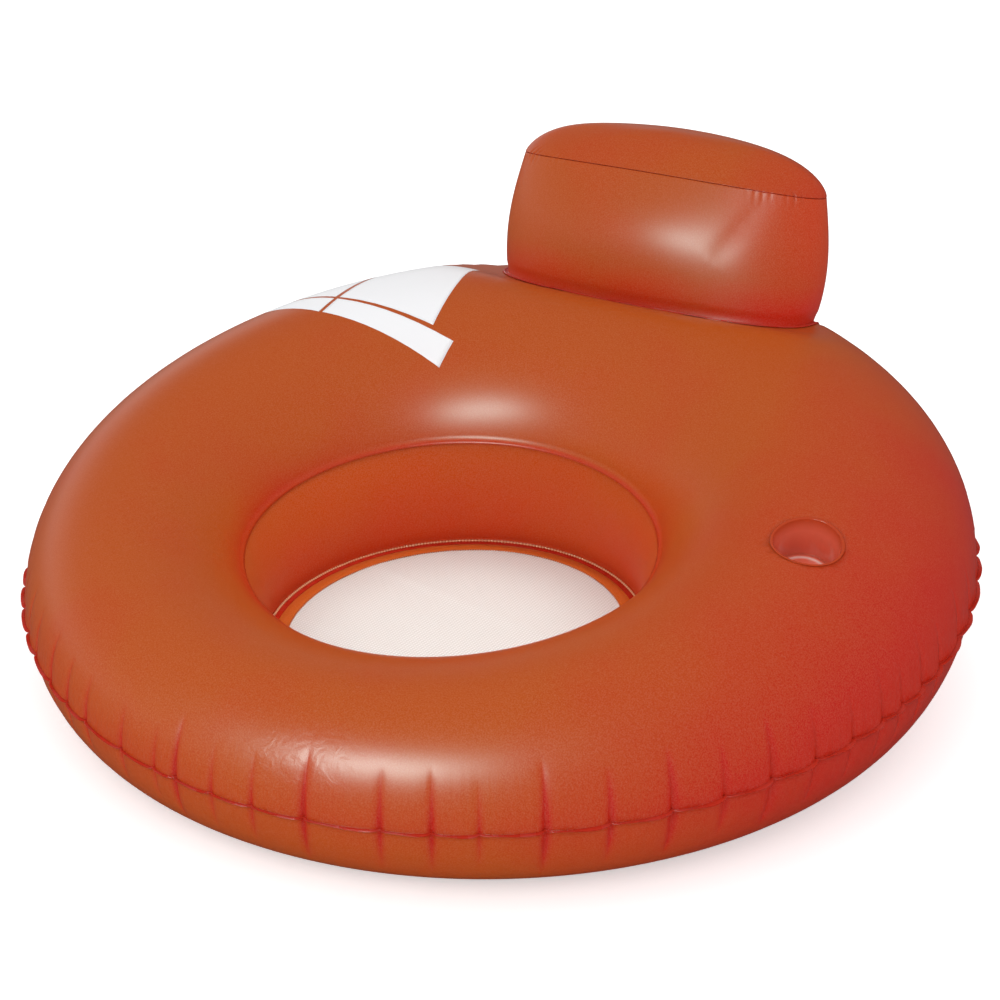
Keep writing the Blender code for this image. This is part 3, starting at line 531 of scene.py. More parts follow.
def open_round(sheet, place, radius):
    """Cut a round hole in a sheet: drop the faces inside it and draw its edge onto the circle."""
    back = place.inverted()
    whole = BVHTree.FromBMesh(sheet)
    inside = []
    for face in sheet.faces:
        local = back @ face.calc_center_median()
        if local.xy.length < radius and abs(local.z) < radius:
            inside.append(face)
    bmesh.ops.delete(sheet, geom=inside, context="FACES")
    for vert in sheet.verts:
        local = back @ vert.co
        if vert.is_boundary and local.length < 2 * radius:
            local.xy *= radius / local.xy.length
            vert.co = whole.ray_cast(place @ Vector((local.x, local.y, radius)), -place.col[2].xyz)[0]


CUP_ANGLE = math.radians(4.7)
CUP_PAST_CREST = 0.0165
CUP_MOUTH = 0.0367
CUP_BAND = 0.0015

top_film = rolled(TOP_ROWS, RING_COLUMNS, top_place)
ring_valve_frame = valve_frame("ring_valve")
level_round(top_film, ring_valve_frame, VALVE_DISC)
top_film.normal_update()
film_tree = BVHTree.FromBMesh(top_film)


def film_under(x, y):
    """The top film's point and normal under a place in plan."""
    point, normal, _, _ = film_tree.ray_cast(Vector((x, y, 1.0)), Vector((0, 0, -1)))
    return point, normal


cup_spot = from_hole(CUP_ANGLE, section_at(CUP_ANGLE).crest_reach + CUP_PAST_CREST, 0.0)


def plain_height(x, y):
    """Height of the top film where nothing presses on it."""
    theta = math.atan2(y - HOLE_Y, x)
    reach = math.hypot(x, y - HOLE_Y)
    section = section_at(theta)
    half = (1 - CREST_AT) * section.width
    if reach < section.crest_reach:
        half = CREST_AT * section.width / math.sin(section.turn)
    share = min(abs(reach - section.crest_reach) / half, 1.0)
    return section.crest - section.rise * (1 - math.sqrt(1 - share * share))


left_z, right_z = [plain_height(cup_spot.x + d, cup_spot.y) for d in (-CUP_MOUTH, CUP_MOUTH)]
near_z, far_z = [plain_height(cup_spot.x, cup_spot.y + d) for d in (-CUP_MOUTH, CUP_MOUTH)]
rise_x, rise_y = right_z - left_z, far_z - near_z
cup_axis = Vector((-rise_x, -rise_y, 2 * CUP_MOUTH)).normalized()
cup_centre = Vector((cup_spot.x, cup_spot.y, plain_height(cup_spot.x, cup_spot.y)))
cup_frame = standing_on(cup_centre, cup_axis)
open_round(top_film, cup_frame, CUP_MOUTH - CUP_BAND / 2)
open_round(top_film, ring_valve_frame, VALVE_DISC - VALVE_LAP)
ring_top = finished(top_film, "ring_top_film", "chair", ring_vinyl, FILM)
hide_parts("ring_top_sheet")

# The air ring's bottom film, the same frosted vinyl. It lies flat in a band where the ring rests, and
# its inner edge is welded to the seat's borders and the inner wall in one flat flange.
REST_AT = 0.633
REST_BAND = 0.030
SEAT_HEIGHT = 0.053
BORDER_FILM = 0.0004
NET_HALF = 0.0006
UPPER_BORDER_Z = SEAT_HEIGHT + NET_HALF + GAP
LOWER_BORDER_Z = SEAT_HEIGHT - NET_HALF - GAP - BORDER_FILM
WALL_FLANGE_Z = UPPER_BORDER_Z + BORDER_FILM + GAP + FILM
BOTTOM_FLANGE_Z = LOWER_BORDER_Z - GAP - FILM
LOW_FLANGE_ROWS = 3
LOW_OUTER_ROWS = 18
LOW_INNER_ROWS = 12
LOW_LIP_ROWS = 2
LOW_ROWS = LOW_FLANGE_ROWS + LOW_OUTER_ROWS + 1 + LOW_INNER_ROWS + LOW_LIP_ROWS
UNDER_FOLDS = 0.35


def bottom_place(column, row):
    section = sections[column]
    along = SEAM_RADIUS * section.alpha
    row = LOW_ROWS - row
    if row < LOW_FLANGE_ROWS:
        return flange_point(section, 1 - row / LOW_FLANGE_ROWS, -GAP / 2 - FILM), 1.0, along, 0.0
    row -= LOW_FLANGE_ROWS
    middle = between(section.low_inner, section.outer, REST_AT)
    if row <= LOW_OUTER_ROWS:
        angle = math.pi / 2 * row / LOW_OUTER_ROWS
        near = middle + REST_BAND / 2
        half = section.outer - near
        out = Vector((section.seam * math.cos(angle), -half * math.sin(angle))).normalized()
        shift = section.gathered(section.seam * math.sin(angle)) * math.cos(angle) ** 0.5
        reach = near + half * math.cos(angle) + shift * out.x
        z = section.seam * (1 - math.sin(angle)) + shift * out.y
        # Painted light and shade: the bottom film is painted oranger where it turns under towards the
        # floor, a little redder up by the seam, and redder in the gathers' grooves.
        stretch_and_shading = 0.8 + 0.2 * math.sin(angle) + min(0.0, GATHER_SHADE * shift / GATHER_DEPTH)
        slack = UNDER_FOLDS * math.cos(angle) ** 6
        if row == 0:
            z -= GAP / 2 + FILM
        return from_hole(section.theta, reach, max(z, 0.0)), 0.0, along, stretch_and_shading, slack
    row -= LOW_OUTER_ROWS + 1
    if row <= LOW_INNER_ROWS:
        angle = math.pi / 2 * (1 - row / LOW_INNER_ROWS)
        near = middle - REST_BAND / 2
        reach = near - (near - section.low_inner) * math.cos(angle)
        z = BOTTOM_FLANGE_Z * (1 - math.sin(angle))
        return from_hole(section.theta, reach, z), 0.0, along, math.sin(angle)
    share = (row - LOW_INNER_ROWS) / LOW_LIP_ROWS
    reach = lower_reach(section.theta, LOWER_FLANGE * share)
    return from_hole(section.theta, reach, BOTTOM_FLANGE_Z), 1.0, along, 0.0


bottom_film = rolled(LOW_ROWS, RING_COLUMNS, bottom_place)
bmesh.ops.reverse_faces(bottom_film, faces=bottom_film.faces)
ring_bottom = finished(bottom_film, "ring_bottom_film", "chair", ring_vinyl, FILM)
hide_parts("ring_bottom_sheet")

# The band of film round the hole. Air pushes it a little into the hole, and it ends above in a narrow
# flange under the top film's lip and below in a wider one that is pressed on the seat's border.
WALL_BULGE = 0.010
WALL_LIP_SHARE = 0.80
WALL_EDGE_STRETCH = 0.3
WALL_COLUMNS = 360
WALL_LIP_ROWS = 2
WALL_BAND_ROWS = 22
WALL_ROWS = 2 * WALL_LIP_ROWS + WALL_BAND_ROWS


def wall_place(column, row):
    theta = 2 * math.pi * column / WALL_COLUMNS
    along = UPPER_HALF[0] * theta
    top_z = weld_height(theta) - 2 * FILM - GAP
    row = WALL_ROWS - row
    if row < WALL_LIP_ROWS:
        share = WALL_LIP_SHARE * (1 - row / WALL_LIP_ROWS)
        return upper_lip(theta, share, top_z), LIP_WELD, along, WALL_EDGE_STRETCH
    row -= WALL_LIP_ROWS
    if row <= WALL_BAND_ROWS:
        share = row / WALL_BAND_ROWS
        reach = between(upper_reach(theta), lower_reach(theta), share)
        reach -= WALL_BULGE * math.sin(math.pi * share) ** 0.8
        z = between(top_z, WALL_FLANGE_Z, share)
        # Painted shade: the band is painted redder towards the bottom of the hole, where less light
        # reaches.
        return from_hole(theta, reach, z), 0.0, along, 0.85 - 0.55 * share
    share = (row - WALL_BAND_ROWS) / WALL_LIP_ROWS
    point = from_hole(theta, lower_reach(theta, LOWER_FLANGE * share), WALL_FLANGE_Z)
    return point, 1.0, along, WALL_EDGE_STRETCH


# The same film again. It faces into the hole and mirrors little, so it has hardly any shine. Its reds are
# painted lighter than the ring's: painted light that lifts the band out of the hole's shade.
band_vinyl = vinyl_film("frosted_pvc_inner_band", 0.42, slack="#D23C22", stretched="#C25C28", shine=0.08)
wall_film = rolled(WALL_ROWS, WALL_COLUMNS, wall_place)
ring_wall = finished(wall_film, "ring_inner_band", "chair", band_vinyl, FILM)
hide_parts("ring_inner_wall")

# The seat's two borders, flat rings of orange vinyl over and under the mesh's rim, pinked inside in
# teeth of 3 mm. Where the wall's flange is welded on, the sealing tool leaves a beaded line that catches
# the light. The real beads are too fine to show, so they are drawn 3.6 mm apart.
BORDER_WIDTH = 0.024
PINK_DEPTH = 0.0011
PINK_COLUMNS = 900
BORDER_ROWS = 8
BORDER_FLAT = 0.35
BORDER_SWELL = 0.0010
BORDER_STRETCH = 0.9


def border_place(z, swell):
    """Places of a border ring at one height, with its pinked inner edge."""

    def place(column, row):
        theta = 2 * math.pi * column / PINK_COLUMNS
        share = 1 - row / BORDER_ROWS
        width = between(GAP, BORDER_WIDTH, share)
        if row == 0:
            width += PINK_DEPTH * (1 if column % 2 else -1)
        rise = math.sin(math.pi * max(0.0, share - BORDER_FLAT) / (1 - BORDER_FLAT))
        lift = swell * rise if share < 1 else 0.0
        along = lower_reach(theta) * theta
        return from_hole(theta, lower_reach(theta, width), z + lift), 0.0, along, BORDER_STRETCH

    return place


# The border's film is a more orange one, a little smoother than the ring's. The bead is pressed in it by
# a hot toothed tool; its teeth are glossy, and painted a pale orange as a painted highlight for the
# glints they catch.
border_vinyl = vinyl_film("orange_border_vinyl", 0.30, slack="#C04A1C", stretched="#CE662A")
bead_vinyl = vinyl_film("pale_bead_vinyl", 0.14, slack="#E08A50", stretched="#F0B488")
for name, z, swell in (
    ("seat_border_over_mesh", UPPER_BORDER_Z, BORDER_SWELL),
    ("seat_border_under_mesh", LOWER_BORDER_Z, 0.0),
):
    border = rolled(BORDER_ROWS, PINK_COLUMNS, border_place(z + BORDER_FILM, swell))
    finished(border, name, "chair", border_vinyl, BORDER_FILM)
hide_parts("seat_border_upper")
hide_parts("seat_border_lower")

BEAD_RADIUS = 0.0015
BEAD_INSET = 0.0022
BEAD_TEETH = 380
BEAD_COLUMNS = 4 * BEAD_TEETH
BEAD_ROWS = 6
BEAD_DIP = 0.30


def bead_place(column, row):
    theta = 2 * math.pi * column / BEAD_COLUMNS
    angle = 2 * math.pi * row / BEAD_ROWS
    radius = BEAD_RADIUS * (1.0 if column % 4 < 2 else BEAD_DIP)
    reach = lower_reach(theta, BEAD_INSET) - radius * math.cos(angle)
    z = WALL_FLANGE_Z + BEAD_RADIUS / 2 + radius * math.sin(angle)
    return from_hole(theta, reach, z), 0.0, 0.0, 1.0


bead = rolled(BEAD_ROWS, BEAD_COLUMNS, bead_place)
bmesh.ops.remove_doubles(bead, verts=bead.verts, dist=0.00001)
bmesh.ops.recalc_face_normals(bead, faces=bead.faces)
finished(bead, "seat_weld_bead", "chair", bead_vinyl)

# The seat, a white mesh of coated polyester threads, held flat between the two borders. It came folded
# in its carton, and the creases of those folds still stand a little proud. The real threads are 1.5 mm
# apart and finer, so they are drawn 1.8 mm apart and thick enough to show.
NET_COLUMNS = 144
NET_ROWS = 44
NET_THICK = 0.0008
NET_FOLDS = [
    ((-0.150, -0.010), (0.130, -0.060), 0.0011),
    ((-0.060, 0.080), (-0.035, -0.160), 0.0008),
    ((0.060, 0.090), (0.050, -0.250), 0.0007),
    ((-0.190, -0.150), (0.190, -0.190), 0.0007),
]
NET_FOLD_HALF_WIDTH = 0.006


def net_place(column, row):
    theta = 2 * math.pi * column / NET_COLUMNS
    share = row / NET_ROWS
    point = from_hole(theta, lower_reach(theta, GAP) * share, SEAT_HEIGHT + NET_THICK / 2)
    inside = min(1.0, (1 - share) * 6)
    for start, end, height in NET_FOLDS:
        line = Vector(end) - Vector(start)
        side = (point.xy - Vector(start)).cross(line) / line.length
        point.z += inside * height / (1 + (side / NET_FOLD_HALF_WIDTH) ** 2)
    return point, 0.0, 0.0, 0.0


net_sheet = rolled(NET_ROWS, NET_COLUMNS, net_place, closed_middle=True)
THREAD_MM = 1.8
THREAD_SHARE = 0.80
THREAD_RELIEF = 0.0003

# Threads woven square and dipped in white vinyl. Their white is painted lightest where two cross and
# greyer between them: painted light and shade on the weave.
mesh_cloth, net_shader = finish_of("coated_polyester_mesh", Roughness=0.62)
net_coords = add(mesh_cloth, "TexCoord").outputs["Object"]
net_axes = add(mesh_cloth, "SeparateXYZ", (net_coords,)).outputs
strands = []
for axis in ("X", "Y"):
    crossed = add(mesh_cloth, "Math", (net_axes[axis], 1000 / THREAD_MM), operation="MULTIPLY")
    strands.append(add(mesh_cloth, "Math", (crossed, 1.0), operation="PINGPONG"))
highest = add(mesh_cloth, "Math", strands, operation="MAXIMUM")
thread = add(mesh_cloth, "Math", (highest, 1 - THREAD_SHARE), operation="GREATER_THAN")
rounding = add(mesh_cloth, "Math", strands, operation="MULTIPLY")
net_shaded_hues = {"Factor": rounding, 6: paint("#DCDAD4"), 7: paint("#FFFFFC")}
net_shaded_hue = add(mesh_cloth, "Mix", net_shaded_hues, data_type="RGBA")
net_bump = add(mesh_cloth, "Bump", {"Height": rounding, "Distance": THREAD_RELIEF, "Strength": 0.6})
feed(net_shader, {"Alpha": thread, "Base Color": net_shaded_hue, "Normal": net_bump})
seat_net = finished(net_sheet, "seat_mesh_cloth", "chair", mesh_cloth, NET_THICK)
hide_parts("seat_mesh")

# The backrest's side band, a strip of the same film. Its lower edge turns outwards and is welded on the
# ring in a glossy flange, and its upper edge is welded to the crowned top panel, where it puckers.
BACK_SEAM_HALF = (0.197, 0.073)
BACK_SEAM_POWER = 2.1
BACK_SEAM_DIP = 0.007
BACK_HEIGHT = 0.155
BACK_CROWN = 0.045
BACK_CROWN_POWER = 3.9
BACK_CROWN_ROUNDING = 0.66
BACK_FRONT_POWER = 2.4
BACK_FRONT_ROUNDING = 0.95
END_SWELL = 0.0050
BACK_BULGE = 0.006
BACK_FRONT_BULGE = 0.012
BACK_FOLD = ((0.102, 0.070), (0.165, 0.160))
BACK_FOLD_DEPTH = 0.0024
BACK_FOLD_HALF_WIDTH = 0.014
BACK_TUCK = 0.0009
BACK_TUCK_HEIGHT = 0.014
BACK_FOOT_FLANGE = 0.0070
BACK_FOOT_CURL = 0.0016
BACK_TOP_FLANGE = -0.0006
BACK_COLUMNS = 480
BACK_FOOT_ROWS = 6
BACK_BAND_ROWS = 40
BACK_ROW_CROWDING = 0.7
BACK_BAND_GRID = BACK_FOOT_ROWS + BACK_BAND_ROWS + 1
PUCKER_MM = 10.0
PUCKER_DEPTH = 0.0022
PUCKER_REACH = 0.018
PUCKER_LEAST = 0.15
PUCKER_CORNER = 0.9
PUCKER_CHANGE_PER_M = 131.0
RIGHT_SHADE_FROM = 0.45
BACK_WELD_STRETCH = 0.1
BACK_FOOT_SHADE = 0.25
BACK_STRETCH_RISE = 2.2

back_across = Vector((1, 0, 0))
back_behind = Vector((0, math.cos(BACK_LEAN), -math.sin(BACK_LEAN)))
back_up = Vector((0, math.sin(BACK_LEAN), math.cos(BACK_LEAN)))


def rounded_oblong(columns, half, power):
    """Evenly spaced points of an oblong, with their outward directions and its whole length."""
    fine = []
    steps = 24 * columns
    for k in range(steps):
        a = 2 * math.pi * k / steps
        c, s = math.cos(a), math.sin(a)
        x = math.copysign(abs(c) ** (2 / power), c) * half[0]
        y = math.copysign(abs(s) ** (2 / power), s) * half[1]
        fine.append(Vector((x, y)))
    lengths = [0.0]
    for k in range(steps):
        lengths.append(lengths[-1] + (fine[(k + 1) % steps] - fine[k]).length)
    outline = []
    k = 0
    for column in range(columns):
        while lengths[k + 1] < lengths[-1] * column / columns:
            k += 1
        outline.append(fine[k % steps])
    ways = []
    for column in range(columns):
        run = outline[(column + 2) % columns] - outline[column - 2]
        ways.append(Vector((run.y, -run.x)).normalized())
    return outline, ways, lengths[-1]


oblong, oblong_ways, oblong_length = rounded_oblong(BACK_COLUMNS, BACK_HALF, BACK_POWER)
seam_oblong, seam_ways, _ = rounded_oblong(BACK_COLUMNS, BACK_SEAM_HALF, BACK_SEAM_POWER)


def on_backrest(column, out_by, up_by, share=0.0, scale=1.0):
    """A point of the backrest; share is 0 on the weld's outline and 1 on the top seam's."""
    outline = oblong[column].lerp(seam_oblong[column], share)
    way = oblong_ways[column].lerp(seam_ways[column], share)
    flat = outline * scale + way * out_by
    up_by -= BACK_SEAM_DIP * share * scale * (outline.x / BACK_SEAM_HALF[0]) ** 2
    return backrest_base + back_across * flat.x + back_behind * flat.y + back_up * up_by


def pucker(column, distance):
    """Short folds across the top weld, deepest at the corners."""
    if distance > PUCKER_REACH:
        return 0.0
    way = oblong_ways[column]
    corner = max(0.0, 1 - abs(abs(way.x) - abs(way.y)) / PUCKER_CORNER)
    arc = oblong_length * column / BACK_COLUMNS
    uneven = 0.55 + 0.45 * math.sin(arc * PUCKER_CHANGE_PER_M)
    fold = max(0.0, math.cos(2000 * math.pi * arc / PUCKER_MM)) ** 3
    depth = PUCKER_DEPTH * (PUCKER_LEAST + corner)
    return -depth * uneven * fold * (1 - distance / PUCKER_REACH) ** 1.5


def end_swell(column, share):
    """At its two ends the band stands out, most in its lower half."""
    return END_SWELL * oblong_ways[column].x ** 4 * math.sin(math.pi * share**0.6)


def front_swell(column, up_by):
    """The air rounds the band's front, and one slack fold runs up it to the corner."""
    flat = oblong[column]
    if flat.y > 0:
        return 0.0
    across = flat.x / BACK_HALF[0]
    height = math.sin(math.pi * min(max(up_by / BACK_HEIGHT, 0.0), 1.0))
    start, end = Vector(BACK_FOLD[0]), Vector(BACK_FOLD[1])
    line = end - start
    place = Vector((flat.x, up_by)) - start
    share = min(max(place.dot(line) / line.length_squared, 0.0), 1.0)
    away = (place - line * share).length / BACK_FOLD_HALF_WIDTH
    fold = BACK_FOLD_DEPTH * math.sin(math.pi * share) ** 0.7 / (1 + away * away)
    return BACK_FRONT_BULGE * height * (1 - across * across) ** 2 - fold


def right_shade(across):
    """The film is painted redder towards the backrest's right end: painted shade where the light falls
    least.
    """
    return max(0.0, across / BACK_HALF[0] - RIGHT_SHADE_FROM)


back_feet = []
for column in range(BACK_COLUMNS):
    start = on_backrest(column, 0.0, BACK_HEIGHT)
    _, _, _, distance = film_tree.ray_cast(start, -back_up)
    back_feet.append(BACK_HEIGHT - distance + FILM + GAP)


def band_place(column, row):
    along = oblong_length * column / BACK_COLUMNS
    foot = back_feet[column]
    if row < BACK_FOOT_ROWS:
        share = 1 - row / BACK_FOOT_ROWS
        point = on_backrest(column, BACK_FOOT_FLANGE * share, foot)
        under, _ = film_under(point.x, point.y)
        point.z = under.z + FILM + GAP + BACK_FOOT_CURL * math.sin(math.pi * share**3)
        return point, 1.0 if row < BACK_FOOT_ROWS - 1 else 0.3, along, BACK_WELD_STRETCH
    row -= BACK_FOOT_ROWS
    if row > BACK_BAND_ROWS:
        point = on_backrest(column, BACK_TOP_FLANGE, BACK_HEIGHT + FILM, 1.0)
        return point, 1.0, along, BACK_WELD_STRETCH
    rise = row / BACK_BAND_ROWS
    rise -= BACK_ROW_CROWDING * math.sin(2 * math.pi * rise) / (2 * math.pi)
    up_by = between(foot, BACK_HEIGHT, rise)
    share = max(up_by, 0.0) / BACK_HEIGHT
    out_by = BACK_BULGE * math.sin(math.pi * share)
    out_by -= BACK_TUCK * math.sin(math.pi * min((up_by - foot) / BACK_TUCK_HEIGHT, 1.0))
    out_by += pucker(column, BACK_HEIGHT - up_by) + end_swell(column, share) + front_swell(column, up_by)
    # Painted shade: the band is painted redder towards its foot, in the corner with the ring, and oranger
    # higher up.
    stretch_and_shading = min(1.0, BACK_FOOT_SHADE + BACK_STRETCH_RISE * share)
    stretch_and_shading -= right_shade(oblong[column].x)
    return on_backrest(column, out_by, up_by, share), 0.0, along, stretch_and_shading


band = rolled(BACK_BAND_GRID, BACK_COLUMNS, band_place)
bmesh.ops.recalc_face_normals(band, faces=band.faces)
if max(band.faces, key=lambda face: face.calc_center_median().x).normal.x < 0:
    bmesh.ops.reverse_faces(band, faces=band.faces)
band.normal_update()
backrest_valve_frame = valve_frame("backrest_valve")
level_round(band, backrest_valve_frame, VALVE_DISC)
open_round(band, backrest_valve_frame, VALVE_DISC - VALVE_LAP)
# The same frosted film, with a brighter slack red than the ring's: painted light that lifts the band's
# red foot out of the shade in its corner with the ring.
backrest_vinyl = vinyl_film("frosted_pvc_side_band", 0.36, slack="#D0301A")
side_band = finished(band, "backrest_side_band", "chair", backrest_vinyl, FILM)
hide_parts("backrest_wall")

# The backrest's top panel, cut to an oval from the same film. The air domes it, and its edge is welded to
# the side band's upper edge, where both pucker.
CROWN_ROWS = 28
CROWN_STRETCH = 0.85


def crown_place(column, row):
    along = oblong_length * column / BACK_COLUMNS
    seat = BACK_HEIGHT + 2 * FILM + GAP
    if row == CROWN_ROWS:
        return on_backrest(column, BACK_TOP_FLANGE, seat - FILM, 1.0), 1.0, along, BACK_WELD_STRETCH
    rho = math.sin(math.pi / 2 * row / (CROWN_ROWS - 1))
    front = max(0.0, -seam_ways[column].y) ** 2
    power = between(BACK_CROWN_POWER, BACK_FRONT_POWER, front)
    rounding = between(BACK_CROWN_ROUNDING, BACK_FRONT_ROUNDING, front)
    rise = BACK_CROWN * (1 - rho**power) ** rounding
    distance = (1 - rho) * BACK_SEAM_HALF[1] + rise
    point = on_backrest(column, pucker(column, distance), seat + rise, 1.0, rho)
    return point, 0.0, along, CROWN_STRETCH - right_shade(point.x)


crown = rolled(CROWN_ROWS, BACK_COLUMNS, crown_place, closed_middle=True)
top_panel = finished(crown, "backrest_crown_panel", "chair", ring_vinyl, FILM)
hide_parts("backrest_top_panel")

# The cup holder, a pocket of clear glossy vinyl. Its rim lies on the ring's film and is welded there.
# Its floor is a disc welded on the pocket's turned-in edge, where the weld stands up in a ring that is
# painted near white: a painted highlight.
# The ring's air pushes wall and floor inwards.
CUP_FLOOR = 0.0300
CUP_DEPTH = 0.043
CUP_FLOOR_WELD = 0.004
CUP_LIP_RADIUS = 0.0014
CUP_PROUD = 0.0001
CUP_COLUMNS = 96
CUP_RIM_ROWS = 3
CUP_LIP_ROWS = 4
CUP_WALL_ROWS = 10
CUP_ROWS = CUP_RIM_ROWS + CUP_LIP_ROWS + CUP_WALL_ROWS + 1
CUP_SQUEEZE = 0.0010
CUP_FLOOR_RISE = 0.0018
CUP_WALL_HUE = 0.55
CUP_FLOOR_HUE = 0.85
CUP_RIPPLES_PER_M = 70.0
CUP_RIPPLE_DEPTH = 0.0012

cup_rim_heights = {}
for column in range(CUP_COLUMNS):
    a = 2 * math.pi * column / CUP_COLUMNS
    for row in range(CUP_RIM_ROWS + 1):
        radius = CUP_MOUTH - CUP_BAND * row / CUP_RIM_ROWS
        start = cup_frame @ Vector((radius * math.cos(a), radius * math.sin(a), CUP_DEPTH))
        _, _, _, distance = film_tree.ray_cast(start, -cup_axis)
        cup_rim_heights[column, row] = CUP_DEPTH - distance + FILM + CUP_PROUD


def cup_place(column, row):
    a = 2 * math.pi * column / CUP_COLUMNS
    row = CUP_ROWS - row
    weld = 0.0
    deep = 0.0
    if row <= CUP_RIM_ROWS:
        radius = CUP_MOUTH - CUP_BAND * row / CUP_RIM_ROWS
        z = cup_rim_heights[column, row]
        weld = 1.0
    elif row <= CUP_RIM_ROWS + CUP_LIP_ROWS:
        angle = math.pi / 2 * (row - CUP_RIM_ROWS) / CUP_LIP_ROWS
        radius = CUP_MOUTH - CUP_BAND - CUP_LIP_RADIUS * math.sin(angle)
        z = cup_rim_heights[column, CUP_RIM_ROWS] - CUP_LIP_RADIUS * (1 - math.cos(angle))
    elif row < CUP_ROWS:
        share = (row - CUP_RIM_ROWS - CUP_LIP_ROWS) / CUP_WALL_ROWS
        mouth = CUP_MOUTH - CUP_BAND - CUP_LIP_RADIUS
        radius = between(mouth, CUP_FLOOR, share) - CUP_SQUEEZE * math.sin(math.pi * share)
        top = cup_rim_heights[column, CUP_RIM_ROWS] - CUP_LIP_RADIUS
        z = between(top, -CUP_DEPTH - FILM - GAP, share)
        # Painted light: the wall is painted paler towards the floor, and the floor paler still.
        deep = min(CUP_WALL_HUE, 2 * share)
    else:
        deep = 1.0
        radius = CUP_FLOOR - CUP_FLOOR_WELD
        z = -CUP_DEPTH - FILM - GAP
    local = Vector((radius * math.cos(a), radius * math.sin(a), z))
    return cup_frame @ local, weld, radius * a, deep


def give_relief(material, shader, per_m, rise, strength):
    """Give a finish an even relief that is fixed to the piece."""
    coords = add(material, "TexCoord").outputs["Object"]
    pattern = add(material, "TexNoise", {"Vector": coords, "Scale": per_m, "Detail": 2.0})
    bump = add(material, "Bump", {"Height": pattern, "Distance": rise, "Strength": strength})
    feed(shader, {"Normal": bump})


# Clear film rolled against a polished drum, with sharp reflections broken by ripples. It is painted a
# paler orange towards the floor: painted light and reflection for the pocket's bright floor.
clear_vinyl, clear_shader = finish_of(
    "clear_glossy_pvc", Roughness=0.10, IOR=1.5, Coat_Weight=0.4, Coat_Roughness=0.05
)
cup_depth, cup_floor_glint = [
    add(clear_vinyl, "Attribute", attribute_name=fact).outputs["Fac"] for fact in POINT_FACTS[2:]
]
cup_hues = {"Factor": cup_depth, 6: paint("#BA421F"), 7: paint("#FA7E64")}
cup_hue = add(clear_vinyl, "Mix", cup_hues, data_type="RGBA")
cup_glint_hues = {"Factor": cup_floor_glint, 6: cup_hue, 7: paint("#FFE0D8")}
cup_glint_hue = add(clear_vinyl, "Mix", cup_glint_hues, data_type="RGBA")
feed(clear_shader, {"Base Color": cup_glint_hue})
give_relief(clear_vinyl, clear_shader, CUP_RIPPLES_PER_M, CUP_RIPPLE_DEPTH, 0.35)
pocket = rolled(CUP_ROWS, CUP_COLUMNS, cup_place)
cup_pocket = finished(pocket, "cup_holder_pocket", "chair", clear_vinyl, FILM)
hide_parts("cup_holder_wall")

CUP_FLOOR_ROWS = 10
CUP_RING_ROW = 8
CUP_RING_PROUD = 0.0006
CUP_DOME = 0.8


def cup_floor_place(column, row):
    a = 2 * math.pi * column / CUP_COLUMNS
    share = row / CUP_FLOOR_ROWS
    radius = (CUP_FLOOR - GAP) * share
    z = -CUP_DEPTH + CUP_FLOOR_RISE * max(0.0, 1 - (share / CUP_DOME) ** 2)
    # The weld ring's row stands up and is painted near white: a painted highlight.
    line = 1.0 if row == CUP_RING_ROW else 0.0
    z += CUP_RING_PROUD * line
    local = Vector((radius * math.cos(a), radius * math.sin(a), z))
    return cup_frame @ local, 0.0, 0.0, CUP_FLOOR_HUE, line


floor_disc = rolled(CUP_FLOOR_ROWS, CUP_COLUMNS, cup_floor_place, closed_middle=True)
cup_floor = finished(floor_disc, "cup_holder_base", "chair", clear_vinyl, FILM)
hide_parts("cup_holder_floor")

# Four plain panels of white ink, screen printed on the top film behind the left arm before the ring is
# welded, with a thin gap of bare film between them. They stand a hair off the film's facets.
PRINT_THICK = 0.00012
PRINT_RELIEF = 0.0001
PRINT_CLEAR = 0.00026
PRINT_STEPS = 28
PRINT_PANELS = {
    "print_strip_right": ((-0.3145, 0.1185), (-0.1455, 0.1100), (-0.1445, 0.1400), (-0.3165, 0.1540)),
    "print_strip_left": ((-0.4050, 0.1270), (-0.3195, 0.1185), (-0.3215, 0.1545), (-0.4070, 0.1630)),
    "print_panel_right": ((-0.3165, 0.1585), (-0.1775, 0.1485), (-0.2040, 0.3010), (-0.3220, 0.3000)),
    "print_panel_left": ((-0.4070, 0.1680), (-0.3225, 0.1595), (-0.3275, 0.3000), (-0.4050, 0.3000)),
}

# The ink is a thin even coat, so the eye sees a satin white that takes up the film's grain.
white_ink, ink_shader = finish_of("white_vinyl_ink", Roughness=0.42, IOR=1.5, Base_Color=paint("#F8F8FA"))
give_relief(white_ink, ink_shader, 1000 / GRAIN_MM, PRINT_RELIEF, 0.12)
for name, corners in PRINT_PANELS.items():
    patch = bmesh.new()
    bmesh.ops.create_grid(patch, x_segments=PRINT_STEPS, y_segments=PRINT_STEPS, size=0.5)
    near_left, near_right, far_right, far_left = [Vector(corner) for corner in corners]
    for vert in patch.verts:
        u, v = vert.co.x + 0.5, vert.co.y + 0.5
        flat = near_left.lerp(near_right, u).lerp(far_left.lerp(far_right, u), v)
        point, normal = film_under(flat.x, flat.y)
        vert.co = point + normal * (PRINT_CLEAR if normal.z > 0 else -PRINT_CLEAR)
    finished(patch, name, "chair", white_ink, PRINT_THICK)

